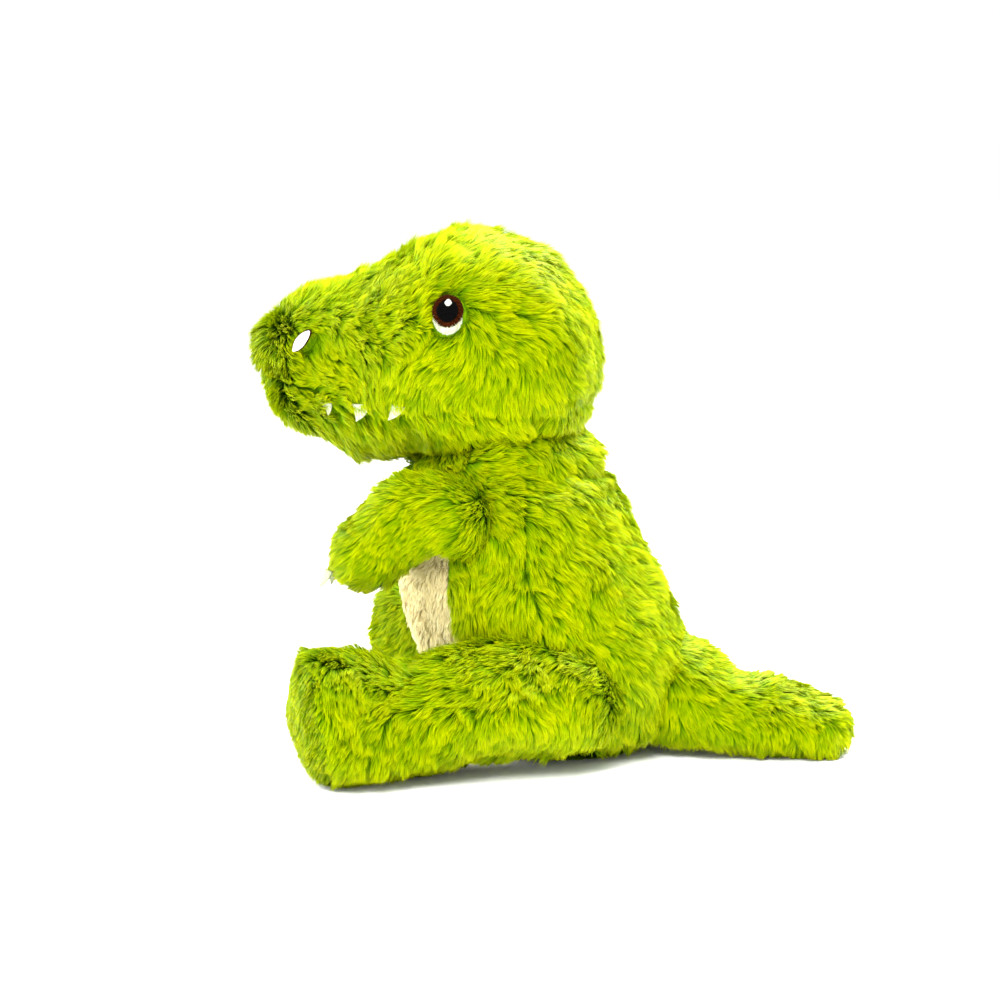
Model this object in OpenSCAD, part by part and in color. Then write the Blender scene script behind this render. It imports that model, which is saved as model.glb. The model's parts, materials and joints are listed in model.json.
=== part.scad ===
// A sitting plush dinosaur, facing -Y, with its left side on +X. It rests on z = 0.
// Each sewn part is a loft: rings across a main axis, split into fabric panels that wrap
// a filling. Head, arms, legs and tail meet the torso in ball-shaped sewn joints.

/* [Fabric] */
// Thickness of the pile fabric, backing and pile together
pile = 5; // [3:0.5:6]
// Gap left along each sewn seam
seam = 0.3; // [0.2:0.1:0.6]
// Gap between the fabric and its filling
loose = 0.8; // [0.6:0.1:1.2]
// Clearance round each ball-shaped joint
joint_gap = 1; // [0.8:0.1:1.5]

/* [Torso] */
// Height of the neck seam
neck_seam_z = 140; // [136:1:142]
// Radius of the round neck
neck_r = 36; // [34:0.5:38]
// Height of the neck's centre of motion
neck_z = 130; // [128:1:132]
// How far the neck's centre lies in front of the seat's centre
neck_forward = 17; // [15:1:19]
// Half of the angle that the pale belly panel spans
belly_half = 60; // [56:1:64]

/* [Arms] */
// Radius of an arm's shoulder
shoulder_r = 19; // [17:0.5:20]
// Distance of a shoulder from the middle
shoulder_x = 43; // [41:1:46]
// Length of an arm in front of its shoulder
arm_length = 56; // [50:1:60]
// How far an arm points below level
arm_drop = 27; // [24:1:34]
// How far an arm points outwards
arm_out = 8; // [4:1:14]
// Length of a claw
claw_length = 9; // [6:0.5:11]

/* [Legs] */
// Radius of a leg at the hip
hip_r = 29; // [27:0.5:30]
// Distance of a hip from the middle
hip_x = 43; // [41:1:46]
// Distance from the hip to the flat sole
leg_length = 115; // [108:1:120]
// How far each leg points outwards
splay = 28; // [24:1:34]

/* [Tail] */
// Radius of the tail's root
tail_r = 26; // [24:0.5:27]
// Distance of the tail's root behind the seat's centre
tail_back = 54; // [53:1:58]

/* [Face] */
// Width of an eye patch
eye_w = 14; // [11:0.5:16]
// Height of an eye patch
eye_h = 18.5; // [14:0.5:20]
// Diameter of the brown iris
iris_d = 13; // [10:0.5:13.5]
// Diameter of the black pupil
pupil_d = 9.5; // [6:0.5:10]
// Length of a nostril patch
nostril_length = 12.5; // [9:0.5:14]
// Length of the middle tooth
tooth_length = 8.5; // [6:0.5:10]

/* [Hidden] */
SIDES = ["left", "right"];
TOOTH_NAMES = ["front", "middle", "rear"];

GREEN = "#b2d400";
CREAM = "#e6dcb0";
FILL = "#f2f2ee";
THREAD = "#8fae00";
TRIM = "#e9ead2";
BROWN = "#4a2410";

// Joint centres
neck_centre = [0, -neck_forward, neck_z];
shoulder = [shoulder_x, -40, 110];
hip = [hip_x, 8, hip_r + 1];
tail_root = [0, tail_back, tail_r + 1];

// Ranges of motion, in degrees from rest
leg_lift = 20;
arm_raise = 15;
arm_lower = 10;
tail_swing = 20;

// A ring is [place along the axis, height of its centre, half width, half height up, half height down].
// Rings of the torso run up its height, and their "up" is the back.
torso_rings = [
    [4.5, 2, 47, 45, 44],
    [14, 1, 54, 53, 52],
    [30, 0, 57, 58, 58],
    [50, -3, 58, 60, 61],
    [70, -9, 57, 59, 61],
    [85, -13, 54, 57, 59],
    [100, -15, 50, 52, 54],
    [114, -16, 45, 46, 45],
    [123, -16.5, 40.5, 41, 39.5],
    [neck_z, -neck_forward, neck_r, neck_r, neck_r],
    [neck_seam_z, -neck_forward, dome_r(neck_seam_z), dome_r(neck_seam_z), dome_r(neck_seam_z)]
];
// Rings of the head run from the nape forward to the tip of the snout.
head_rings = [
    [-18.5, 172, 2, 2, 2],
    [-16.5, 174, 24, 21, 20],
    [-11, 178, 36, 31, 34],
    [6, 183, 46, 47, 47],
    [24, 185, 50.5, 51, 51],
    [40, 186, 52, 52, 52],
    [57, 185, 50, 50, 50],
    [73, 182, 45, 47, 47.5],
    [89, 179, 39, 43, 44],
    [107, 180, 33.5, 35, 32.5],
    [122, 181, 28.5, 25.5, 26.5],
    [134, 181, 19.5, 15, 17],
    [139.5, 180, 9, 8, 8],
    [141, 180, 1.5, 1.5, 1.5]
];
arm_rings = concat(
    root_cap(shoulder_r, shoulder_r - 1, 0),
    [
        [0, 0, shoulder_r - 1, shoulder_r, shoulder_r],
        [arm_length - 38, 0, 18, 24, 15.5],
        [arm_length - 16, 0, 16, 17, 13.5],
        [arm_length - 6, 0, 12, 12.5, 11],
        [arm_length - 1.5, 0, 6, 6, 6],
        [arm_length, 0, 1.5, 1.5, 1.5]
    ]
);
leg_rings = concat(
    root_cap(hip_r, hip_r, hip[2]),
    [
        [0, hip[2], hip_r, hip_r, hip_r],
        [26, 29.5, 29, 29.5, 29],
        [52, 27.5, 26.5, 27, 27],
        [76, 23.5, 24, 22.5, 23.2],
        [92, 25, 24.5, 25, 24.8],
        [104, 26.5, 25.5, 26.5, 26.4],
        [leg_length - pile, 26.5, 24.5, 25.5, 25.5]
    ]
);
tail_rings = concat(
    root_cap(tail_r, tail_r, tail_root[2]),
    [
        [0, tail_root[2], tail_r, tail_r, tail_r],
        [16, 23, 25, 21, 22.6],
        [33, 18, 22.5, 17, 17.8],
        [55, 15.3, 19.5, 14.7, 15.1],
        [70, 12.8, 15.5, 12, 12.4],
        [78, 11.5, 10, 8, 8.5],
        [81.5, 11, 1.5, 1.5, 1.5]
    ]
);

// A part is [rings, origin, main axis, side axis, roundness of its rings, typical half size].
torso_part = [torso_rings, [0, 0, 0], [0, 0, 1], [1, 0, 0], 1, 52];
head_part = [head_rings, [0, 0, 0], [0, -1, 0], [1, 0, 0], 0.82, 46];
arm_part = [arm_rings, shoulder, heading(arm_out, -arm_drop), [cos(arm_out), sin(arm_out), 0], 1, 18];
leg_part = [leg_rings, [hip[0], hip[1], 0], heading(splay, 0), [cos(splay), sin(splay), 0], 1, 27];
tail_part = [tail_rings, [0, tail_root[1], 0], [0, 1, 0], [-1, 0, 0], 0.95, 20];

// Steps along and around a panel or a filling
ALONG = 14;
AROUND = 9;
// Where the head's panels meet, as angles from the crown
gusset_angle = 24;
mouth_angle = 116;
// Where the tail's panels meet its base
tail_base_angle = 140;
// Fineness of the balls that carve room for the joints
BALL_FN = 32;

// Ring where the pale belly ends and the side panels meet at the throat, and the seam's share of a ring
belly_top = 6.5;
throat_seam = 0.03;
// Thickness of the flat base panel
seat_thick = 4.2;
// How far along a limb the torso is cut away to let it move, and how wide there
thigh_reach = 55;
thigh_room_r = hip_r + 0.8;
arm_reach = 20;
arm_room_r = 25;
tail_reach = 30;
tail_room_r = 22;
// How far the tail's middle drops over its reach
tail_fall = 6;
// Thickness of the plush where it is trimmed thinner, on the arms and the tail
arm_pile = 3.5;
tail_pile = 4;

// Pellet bag: its middle, its outer size, the rounding of its corners and its cloth
bag_centre = [0, -21, 18];
bag_size = [28, 30, 17];
bag_round = 4;
bag_wall = 0.8;

// Stitches that close the back: their places in rings, their length and their thread
stitches = [6.3:0.3:8.1];
stitch_length = 5;
thread_r = 0.4;
// Gap between the neck's filling and the round neck, and the angle of its bare cap
cap_gap = 0.2;
cap_angle = 55;

// Middle of an eye: place along the head in rings, and angle from the crown
eye_t = 5;
eye_a = 76;
// Height of each embroidered layer above the plush: pale patch, iris with pupil, highlight
eye_lifts = [0.3, 1.4, 2.3];
// Thickness of the patch, of the iris and of the highlight
eye_layers = [1, 0.8, 0.4];
// How far the iris and the highlight sit above the middle of the patch, and the highlight's size
iris_up = 2.2;
highlight_up = 5;
highlight_d = 2.6;
// Difference between the pupil's diameter and the iris's opening
pupil_gap = 0.2;
// Places of the teeth along the mouth in rings, and each one's size against the middle tooth
tooth_t = [8.62, 7.61, 6.46];
tooth_size = [0.8, 1, 0.95];
// Each tooth's angle from the crown, close to the mouth's seam
tooth_a = [117, 110, 113];
// Middle of a nostril, in the same way as an eye
nostril_t = 9.24;
nostril_a = 80;
nostril_slant = 48;
// Places of the two claws on a hand, in the same way
claw_t = 6.9;
claw_a = [140, 220];
// Height and thickness of the flat trim on the face, and the height of teeth and claws
trim_lift = 0.3;
trim_thick = 1;
pointed_lift = 0.4;

// ---------- Functions ----------

// Radius of the round neck at a height
function dome_r(z) = sqrt(neck_r * neck_r - (z - neck_z) * (z - neck_z));

// Level or tilted direction: forward, turned outwards and raised by the angles given
function heading(outwards, raised) =
    [sin(outwards) * cos(raised), -cos(outwards) * cos(raised), sin(raised)];

// Rings of a round end, from its pole up to the ring at place 0
function root_cap(r, half_w, centre) =
    [for (b = [5, 33, 61]) [-r * cos(b), centre, half_w * sin(b), r * sin(b), r * sin(b)]];

// Direction after a limb is raised about the sideways axis
function raised(v, lift) =
    [v[0], v[1] * cos(lift) + v[2] * sin(lift), v[2] * cos(lift) - v[1] * sin(lift)];

// Row of a table, held at its ends
function row(k, i) = k[max(0, min(len(k) - 1, i))];

// Smooth curve through the rows of a table, with t counted in rows
function between(k, t) =
    let (i = min(floor(t), len(k) - 2), f = t - i)
    let (p = row(k, i - 1), a = row(k, i), b = row(k, i + 1), q = row(k, i + 2))
    a + f * ((b - p) / 2 + f * (p - 2.5 * a + 2 * b - q / 2 + f * (1.5 * (a - b) + (q - p) / 2)));

// Power of a number that keeps its sign
function signed_pow(x, e) = sign(x) * pow(abs(x), e);

// Share by which a part shrinks when its surface moves in by a depth
function shrink(part, deep) = 1 - deep / part[5];

// Place along the axis after moving in by a depth, measured from the part's middle
function inset_along(part, u, deep) =
    let (k = part[0], middle = (k[0][0] + k[len(k) - 1][0]) / 2, half = abs(k[len(k) - 1][0] - k[0][0]) / 2)
    middle + (u - middle) * (1 - deep / half);

// Point of a part from its place along, across and up
function at(part, u, v, w) = part[1] + u * part[2] + v * part[3] + w * cross(part[2], part[3]);

// Point of a part's surface: t in rings, a in degrees from its top, deep below the surface
function skin(part, t, a, deep) =
    let (r = between(part[0], t), s = shrink(part, deep), e = part[4])
    let (h = (cos(a) > 0 ? r[3] : r[4]) * s * signed_pow(cos(a), e))
    at(part, inset_along(part, r[0], deep), r[2] * s * signed_pow(sin(a), e), r[1] + h);

// Outward direction of a part's surface
function outward(part, t, a) =
    let (d = cross(
        skin(part, t + 0.05, a, 0) - skin(part, t - 0.05, a, 0),
        skin(part, t, a + 2, 0) - skin(part, t, a - 2, 0)
    ))
    d / norm(d);

// The two triangles of a grid's cell
function cell(a, b, c, d) = [[a, b, c], [a, c, d]];

// ---------- Building blocks ----------

// Curved sheet between two depths, from ring t0 to t1 and from angle a0 to a1
module sheet(part, t0, t1, a0, a1, along = ALONG, around = AROUND, top = 0, under = pile) {
    wide = around + 1;
    layer = (along + 1) * wide;
    points = [
        for (deep = [top, under], i = [0:along], j = [0:around])
            skin(part, t0 + (t1 - t0) * i / along, a0 + (a1 - a0) * j / around, deep)
    ];
    faces = [
        for (i = [0:along - 1], j = [0:around - 1])
            let (k = i * wide + j)
            each concat(
                cell(k, k + 1, k + wide + 1, k + wide),
                cell(k + layer, k + layer + wide, k + layer + wide + 1, k + layer + 1)
            ),
        for (j = [0:around - 1])
            let (k = along * wide + j)
            each concat(
                cell(j, j + layer, j + layer + 1, j + 1),
                cell(k, k + 1, k + layer + 1, k + layer)
            ),
        for (i = [0:along - 1])
            let (k = i * wide, m = i * wide + around)
            each concat(
                cell(k, k + wide, k + layer + wide, k + layer),
                cell(m, m + layer, m + layer + wide, m + wide)
            )
    ];
    polyhedron(points = points, faces = faces, convexity = 6);
}

// Closed filling under the fabric, from ring t0 to t1
module filling(part, t0, t1, along = ALONG, around = 2 * AROUND) {
    points = [
        for (i = [0:along], j = [0:around - 1])
            skin(part, t0 + (t1 - t0) * i / along, 360 * j / around, pile + loose)
    ];
    last = along * around;
    faces = [
        for (i = [0:along - 1], j = [0:around - 1])
            let (k = i * around, n = (j + 1) % around)
            each cell(k + j, k + n, k + around + n, k + around + j),
        for (j = [1:around - 2])
            each [[0, j + 1, j], [last, last + j, last + j + 1]]
    ];
    polyhedron(points = points, faces = faces, convexity = 6);
}

// Children moved to a point, with their axes turned to three given ones
module placed(p, x, y, z) {
    multmatrix([
        [x[0], y[0], z[0], p[0]],
        [x[1], y[1], z[1], p[1]],
        [x[2], y[2], z[2], p[2]],
        [0, 0, 0, 1]
    ])
        children();
}

// Children standing on a part's surface, with Z outwards and Y up, lifted off it
module stand_on(part, t, a, lift = 0.2, roll = 0) {
    z = outward(part, t, a);
    side = cross([0, 0, 1], z);
    x = side / norm(side);
    y = cross(z, x);
    p = skin(part, t, a, 0) + lift * z;
    placed(p, x, y, z)
        rotate([0, 0, roll])
            children();
}

module on_side(side) {
    if (side == "right")
        mirror([1, 0, 0])
            children();
    else
        children();
}

// Round space that a limb sweeps as it turns about its root
module swept(root, root_r, tip, tip_r) {
    hull() {
        translate(root)
            sphere(r = root_r + joint_gap, $fn = BALL_FN);
        translate(tip)
            sphere(r = tip_r + joint_gap, $fn = BALL_FN);
    }
}

// Everything that the torso leaves free for arms, legs and tail over their whole travel
module joint_room() {
    for (side = SIDES)
        on_side(side) {
            for (lift = [0:leg_lift / 4:leg_lift])
                swept(hip, hip_r, hip + thigh_reach * raised(heading(splay, 0), lift), thigh_room_r);
            for (raise = [-arm_lower, 0, arm_raise])
                swept(shoulder, shoulder_r,
                    shoulder + arm_reach * raised(heading(arm_out, -arm_drop), raise), arm_room_r);
        }
    for (swing = [-tail_swing, 0, tail_swing])
        swept(tail_root, tail_r,
            tail_root + [tail_reach * sin(swing), tail_reach * cos(swing), -tail_fall], tail_room_r);
}

// ---------- Torso ----------

// Side of the torso. Its upper front corner reaches the middle and covers the throat.
module torso_panel() {
    color(GREEN)
        difference() {
            union() {
                sheet(torso_part, 0, 10, 0.3, 180 - belly_half, along = 20);
                sheet(
                    torso_part, belly_top, 10, 180 - belly_half, 179.7,
                    along = 2 * (10 - belly_top), around = 5
                );
            }
            joint_room();
        }
}

module torso_left_panel() {
    torso_panel();
}

module torso_right_panel() {
    mirror([1, 0, 0])
        torso_panel();
}

module belly_panel() {
    color(CREAM)
        difference() {
            sheet(
                torso_part, 0, belly_top - throat_seam, 180.5 - belly_half, 179.5 + belly_half,
                along = 2 * belly_top
            );
            joint_room();
        }
}

// Flat base panel, cut to the outline of the lowest ring
module seat_panel() {
    outline = [for (a = [0:15:345]) let (p = skin(torso_part, 0, a, 1)) [p[0], p[1]]];
    color(GREEN)
        difference() {
            linear_extrude(seat_thick)
                polygon(outline);
            joint_room();
        }
}

module torso_stuffing() {
    color(FILL)
        difference() {
            filling(torso_part, 0.3, 10);
            joint_room();
            translate(neck_centre)
                sphere(r = neck_r - pile - 0.4, $fn = BALL_FN);
            translate(bag_centre)
                bag_block(loose);
        }
}

// Pillow shape of the pellet bag, grown all round by a margin
module bag_block(margin) {
    corner = bag_size / 2 - [1, 1, 1] * bag_round;
    hull()
        for (x = [-1, 1], y = [-1, 1], z = [-1, 1])
            translate([x * corner[0], y * corner[1], z * corner[2]])
                sphere(r = bag_round + margin, $fn = 16);
}

module pellet_bag() {
    color("#dcdcd6")
        translate(bag_centre)
            difference() {
                bag_block(0);
                bag_block(-bag_wall);
            }
}

module pellets() {
    color("#cfd8dc")
        translate(bag_centre)
            bag_block(-bag_wall - seam);
}

// Ladder stitches that close the stuffing gap, up the middle of the back
module closing_seam() {
    color(THREAD)
        for (t = stitches)
            stand_on(torso_part, t, 0, lift = 0.5)
                rotate([0, 90, 0])
                    cylinder(h = stitch_length, r = thread_r, center = true, $fn = 24);
}

// Plug of filling that passes through the neck, round about the vertical axis
module neck_stuffing() {
    plug_r = neck_r - pile - 1;
    color(FILL)
        translate(neck_centre)
            rotate_extrude($fn = 64)
                polygon(concat(
                    [[0, -plug_r]],
                    [for (b = [-80:10:90 - cap_angle]) plug_r * [cos(b), sin(b)]],
                    [for (b = [90 - cap_angle:10:85]) (neck_r - cap_gap) * [cos(b), sin(b)]],
                    [[0, neck_r - cap_gap]]
                ));
}

// ---------- Head ----------

// Round space that the neck fills
module neck_room() {
    translate(neck_centre)
        sphere(r = neck_r + joint_gap, $fn = BALL_FN);
}

module head_side_panel() {
    color(GREEN)
        difference() {
            sheet(head_part, 0, 13, gusset_angle + 0.3, mouth_angle - 0.3, along = 17);
            neck_room();
        }
}

module head_left_panel() {
    head_side_panel();
}

module head_right_panel() {
    mirror([1, 0, 0])
        head_side_panel();
}

module head_top_gusset() {
    color(GREEN)
        sheet(head_part, 0, 13, -gusset_angle, gusset_angle, along = 17, around = 4);
}

module jaw_panel() {
    color(GREEN)
        difference() {
            sheet(head_part, 0, 13, mouth_angle, 360 - mouth_angle, along = 17);
            neck_room();
        }
}

module head_stuffing() {
    color(FILL)
        difference() {
            filling(head_part, 0, 13, along = 17);
            neck_room();
        }
}

// Flat oval plate
module oval(w, h, thick) {
    linear_extrude(thick)
        polygon([for (a = [0:15:345]) [w / 2 * cos(a), h / 2 * sin(a)]]);
}

module eye_white(side) {
    color(TRIM)
        on_side(side)
            stand_on(head_part, eye_t, eye_a, lift = eye_lifts[0])
                oval(eye_w, eye_h, eye_layers[0]);
}

module eye_iris(side) {
    color(BROWN)
        on_side(side)
            stand_on(head_part, eye_t, eye_a, lift = eye_lifts[1])
                translate([0, iris_up, 0])
                    difference() {
                        cylinder(h = eye_layers[1], d = iris_d, $fn = 48);
                        translate([0, 0, -1])
                            cylinder(h = eye_layers[1] + 2, d = pupil_d + pupil_gap, $fn = 48);
                    }
}

module eye_pupil(side) {
    color("black")
        on_side(side)
            stand_on(head_part, eye_t, eye_a, lift = eye_lifts[1])
                translate([0, iris_up, 0])
                    cylinder(h = eye_layers[1], d = pupil_d, $fn = 48);
}

module eye_highlight(side) {
    color("white")
        on_side(side)
            stand_on(head_part, eye_t, eye_a, lift = eye_lifts[2])
                translate([0, highlight_up, 0])
                    cylinder(h = eye_layers[2], d = highlight_d, $fn = 32);
}

// Almond patch: the overlap of two round outlines
module nostril(side) {
    bow_r = nostril_length * 0.85;
    half_w = bow_r - sqrt(bow_r * bow_r - nostril_length * nostril_length / 4);
    color(TRIM)
        on_side(side)
            stand_on(head_part, nostril_t, nostril_a, lift = trim_lift, roll = nostril_slant)
                linear_extrude(trim_thick)
                    intersection() {
                        translate([0, bow_r - half_w])
                            circle(r = bow_r, $fn = 64);
                        translate([0, half_w - bow_r])
                            circle(r = bow_r, $fn = 64);
                    }
}

// Curved triangle of stiff fabric, sewn in along its top edge
module pointed(w, h, thick) {
    linear_extrude(thick)
        polygon(concat(
            [[-w / 2, 0]],
            [for (i = [1:5]) [-w / 2 + w * 0.45 * i / 5, -h * i / 5]],
            [for (i = [4:-1:0]) [w / 2 - w * 0.55 * pow(i / 5, 1.6), -h * i / 5]]
        ));
}

module tooth(side, i) {
    h = tooth_length * tooth_size[i];
    color(TRIM)
        on_side(side)
            stand_on(head_part, tooth_t[i], tooth_a[i], lift = pointed_lift)
                pointed(h, h, trim_thick);
}

// ---------- Arms ----------

module arm_outer_panel(side) {
    color(GREEN)
        on_side(side)
            sheet(arm_part, 0, 8, 0.6, 179.4, along = 10, around = 7, under = arm_pile);
}

module arm_inner_panel(side) {
    color(GREEN)
        on_side(side)
            sheet(arm_part, 0, 8, 180.6, 359.4, along = 10, around = 7, under = arm_pile);
}

module arm_stuffing(side) {
    color(FILL)
        on_side(side)
            filling(arm_part, 0.1, 7.8, along = 9, around = 12);
}

// Two small claws at the end of the hand
module arm_claws(side) {
    color(TRIM)
        on_side(side)
            for (a = claw_a)
                stand_on(arm_part, claw_t, a, lift = pointed_lift)
                    pointed(claw_length * 0.75, claw_length, trim_thick);
}

// ---------- Legs ----------

module leg_outer_panel(side) {
    color(GREEN)
        on_side(side)
            sheet(leg_part, 0, 9, 0.5, 179.5, along = 12, around = 8);
}

module leg_inner_panel(side) {
    color(GREEN)
        on_side(side)
            sheet(leg_part, 0, 9, 180.5, 359.5, along = 12, around = 8);
}

// Flat sole that closes the foot
module leg_sole(side) {
    r = leg_rings[len(leg_rings) - 1];
    x = leg_part[3];
    y = cross(leg_part[2], leg_part[3]);
    z = leg_part[2];
    p = at(leg_part, leg_length - pile + seam, 0, r[1]);
    outline = [
        for (a = [0:15:345])
            [r[2] * signed_pow(sin(a), leg_part[4]), r[3] * signed_pow(cos(a), leg_part[4])]
    ];
    color(GREEN)
        on_side(side)
            placed(p, x, y, z)
                linear_extrude(pile - seam)
                    polygon(outline);
}

module leg_stuffing(side) {
    color(FILL)
        on_side(side)
            filling(leg_part, 0, 9, along = 12, around = 16);
}

// ---------- Tail ----------

module tail_left_panel() {
    color(GREEN)
        sheet(tail_part, 0, 9, 360 - tail_base_angle, 359.5, along = 10, around = 6, under = tail_pile);
}

module tail_right_panel() {
    color(GREEN)
        sheet(tail_part, 0, 9, 0.5, tail_base_angle, along = 10, around = 6, under = tail_pile);
}

module tail_base_panel() {
    color(GREEN)
        sheet(
            tail_part, 0, 9, tail_base_angle + 1, 359 - tail_base_angle,
            along = 10, around = 5, under = tail_pile
        );
}

module tail_stuffing() {
    color(FILL)
        filling(tail_part, 0.1, 8.6, along = 9, around = 14);
}

torso_left_panel();
torso_right_panel();
belly_panel();
seat_panel();
torso_stuffing();
pellet_bag();
pellets();
closing_seam();
neck_stuffing();
head_left_panel();
head_right_panel();
head_top_gusset();
jaw_panel();
head_stuffing();
tail_left_panel();
tail_right_panel();
tail_base_panel();
tail_stuffing();
for (s = SIDES) {
    eye_white(s);
    eye_iris(s);
    eye_pupil(s);
    eye_highlight(s);
    nostril(s);
    for (i = [0:2])
        tooth(s, i);
    arm_outer_panel(s);
    arm_inner_panel(s);
    arm_stuffing(s);
    arm_claws(s);
    leg_outer_panel(s);
    leg_inner_panel(s);
    leg_sole(s);
    leg_stuffing(s);
}
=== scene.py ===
import json
import math
import bpy
import numpy as np
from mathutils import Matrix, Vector
from mathutils.bvhtree import BVHTree
from mathutils.kdtree import KDTree

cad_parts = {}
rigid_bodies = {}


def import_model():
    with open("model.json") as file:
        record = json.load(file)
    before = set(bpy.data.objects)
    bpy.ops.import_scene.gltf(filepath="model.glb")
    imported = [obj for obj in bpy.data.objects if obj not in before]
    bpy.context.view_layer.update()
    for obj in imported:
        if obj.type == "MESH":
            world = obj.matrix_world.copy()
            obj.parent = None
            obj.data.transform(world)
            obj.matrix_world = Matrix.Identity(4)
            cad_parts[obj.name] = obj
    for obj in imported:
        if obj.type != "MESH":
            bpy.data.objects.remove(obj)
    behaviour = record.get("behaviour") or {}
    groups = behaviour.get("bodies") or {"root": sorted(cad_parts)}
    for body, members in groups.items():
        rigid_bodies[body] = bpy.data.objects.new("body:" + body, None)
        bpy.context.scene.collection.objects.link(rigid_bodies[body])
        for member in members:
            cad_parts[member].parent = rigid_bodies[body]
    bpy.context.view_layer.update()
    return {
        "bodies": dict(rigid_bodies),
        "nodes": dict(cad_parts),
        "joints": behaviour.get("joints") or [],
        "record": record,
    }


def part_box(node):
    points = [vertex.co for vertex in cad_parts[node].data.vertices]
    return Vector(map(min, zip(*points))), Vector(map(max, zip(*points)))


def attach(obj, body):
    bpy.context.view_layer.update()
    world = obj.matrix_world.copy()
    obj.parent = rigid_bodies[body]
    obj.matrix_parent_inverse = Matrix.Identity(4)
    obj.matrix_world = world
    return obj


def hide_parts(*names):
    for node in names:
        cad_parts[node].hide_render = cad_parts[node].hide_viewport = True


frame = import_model()
# Shapes are in millimetres up to the mesh, and in metres from there on
MM = 0.001
SCENE = bpy.context.scene
COLLECTION = SCENE.collection

# How far the backing cloth lies under the outline of the CAD part
DEEP = {"torso": 2.2, "head": 4.4, "arm": 2.2, "leg": 1.8, "tail": 1.6}
HIP, SHOULDER = (43.0, 8.0, 30.0), (43.0, -40.0, 110.0)
NECK, NECK_R = np.array([0.0, -17.0, 130.0]), 36.0
TAIL_ROOT = (0.0, 54.0, 27.0)
# Lowest heights of the backing cloth, the pile and the filling above the floor
CLOTH_LOW, PILE_LOW, FILLING_LOW = 0.9, 0.2, 2.2
FLIP, SIDES = np.array([-1, 1, 1]), (("left", 1), ("right", -1))

def heading(out, up):
    o, u = math.radians(out), math.radians(up)
    return np.array([math.sin(o) * math.cos(u), -math.cos(o) * math.cos(u), math.sin(u)])


def root_cap(r, half_w, centre):
    return [[-r * math.cos(math.radians(b)), centre, half_w * math.sin(math.radians(b)),
             r * math.sin(math.radians(b)), r * math.sin(math.radians(b))] for b in (5, 33, 61)]


# ---------- Shapes, the same tables as the CAD parts ----------
# A ring is [place along, centre height, half width, half up, half down]
DOME = math.sqrt(NECK_R ** 2 - 10 ** 2)
TORSO_RINGS = [
    [4.5, 2, 47, 45, 44], [14, 1, 54, 53, 52], [30, 0, 57, 58, 58], [50, -3, 58, 60, 61],
    [70, -9, 57, 59, 61], [85, -13, 54, 57, 59], [100, -15, 50, 52, 54], [114, -16, 45, 46, 45],
    [123, -16.5, 40.5, 41, 39.5], [130, -17, 36, 36, 36], [140, -17, DOME, DOME, DOME],
    [149, -17, 29, 29, 29], [155, -17, 24, 24, 24]]
HEAD_RINGS = [
    [-18.5, 172, 2, 2, 2], [-16.5, 174, 24, 21, 20], [-11, 178, 36, 31, 34], [6, 183, 46, 47, 47],
    [24, 185, 50.5, 51, 51], [40, 186, 52, 52, 52], [57, 185, 50, 50, 50], [73, 182, 45, 47, 47.5],
    [89, 179, 39, 43, 44], [107, 180, 33.5, 35, 32.5], [122, 181, 28.5, 25.5, 26.5],
    [134, 181, 19.5, 15, 17], [139.5, 180, 9, 8, 8], [141, 180, 1.5, 1.5, 1.5]]
ARM_RINGS = root_cap(19, 19, 0) + [
    [0, 0, 18, 19, 19], [18, 0, 18, 24, 15.5], [40, 0, 16, 17, 13.5], [50, 0, 12, 12.5, 11],
    [54.5, 0, 6, 6, 6], [56, 0, 1.5, 1.5, 1.5]]
LEG_RINGS = root_cap(29, 29, 30) + [
    [0, 30, 29, 29, 29], [26, 29.5, 29, 29.5, 29], [52, 27.5, 26.5, 27, 27], [76, 23.5, 24, 22.5, 23.2],
    [92, 25, 24.5, 25, 24.8], [104, 26.5, 25.5, 26.5, 26.4], [110, 26.5, 24.5, 25.5, 25.5]]
TAIL_RINGS = root_cap(26, 26, 27) + [
    [0, 27, 26, 26, 26], [16, 23, 25, 21, 22.6], [33, 18, 22.5, 17, 17.8], [55, 15.3, 19.5, 14.7, 15.1],
    [70, 12.8, 15.5, 12, 12.4], [78, 11.5, 10, 8, 8.5], [81.5, 11, 1.5, 1.5, 1.5]]


def part(rings, origin, u, v, power, half):
    """Rings k along u from o, across v and up w, with an outline of the power e."""
    u, v = np.array(u, float), np.array(v, float)
    return dict(k=np.array(rings, float), o=np.array(origin, float), u=u, v=v, w=np.cross(u, v),
                e=power, half=half)


ARM_OUT, ARM_UP, LEG_OUT = 8, -27, 28


def level(out):
    return math.cos(math.radians(out)), math.sin(math.radians(out)), 0


SHAPES = {
    "torso": part(TORSO_RINGS, (0, 0, 0), (0, 0, 1), (1, 0, 0), 1, 52),
    "head": part(HEAD_RINGS, (0, 0, 0), (0, -1, 0), (1, 0, 0), 0.82, 46),
    "arm": part(ARM_RINGS, SHOULDER, heading(ARM_OUT, ARM_UP), level(ARM_OUT), 1, 18),
    "leg": part(LEG_RINGS, (HIP[0], HIP[1], 0), heading(LEG_OUT, 0), level(LEG_OUT), 1, 27),
    "tail": part(TAIL_RINGS, (0, TAIL_ROOT[1], 0), (0, 1, 0), (-1, 0, 0), 0.95, 20),
}


def between(k, t):
    n = len(k)
    i = np.clip(np.floor(t).astype(int), 0, n - 2)
    f = (t - i)[..., None]
    p, a, b, q = (k[np.clip(i + d, 0, n - 1)] for d in (-1, 0, 1, 2))
    return a + f * ((b - p) / 2 + f * (p - 2.5 * a + 2 * b - q / 2 + f * (1.5 * (a - b) + (q - p) / 2)))


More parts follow.
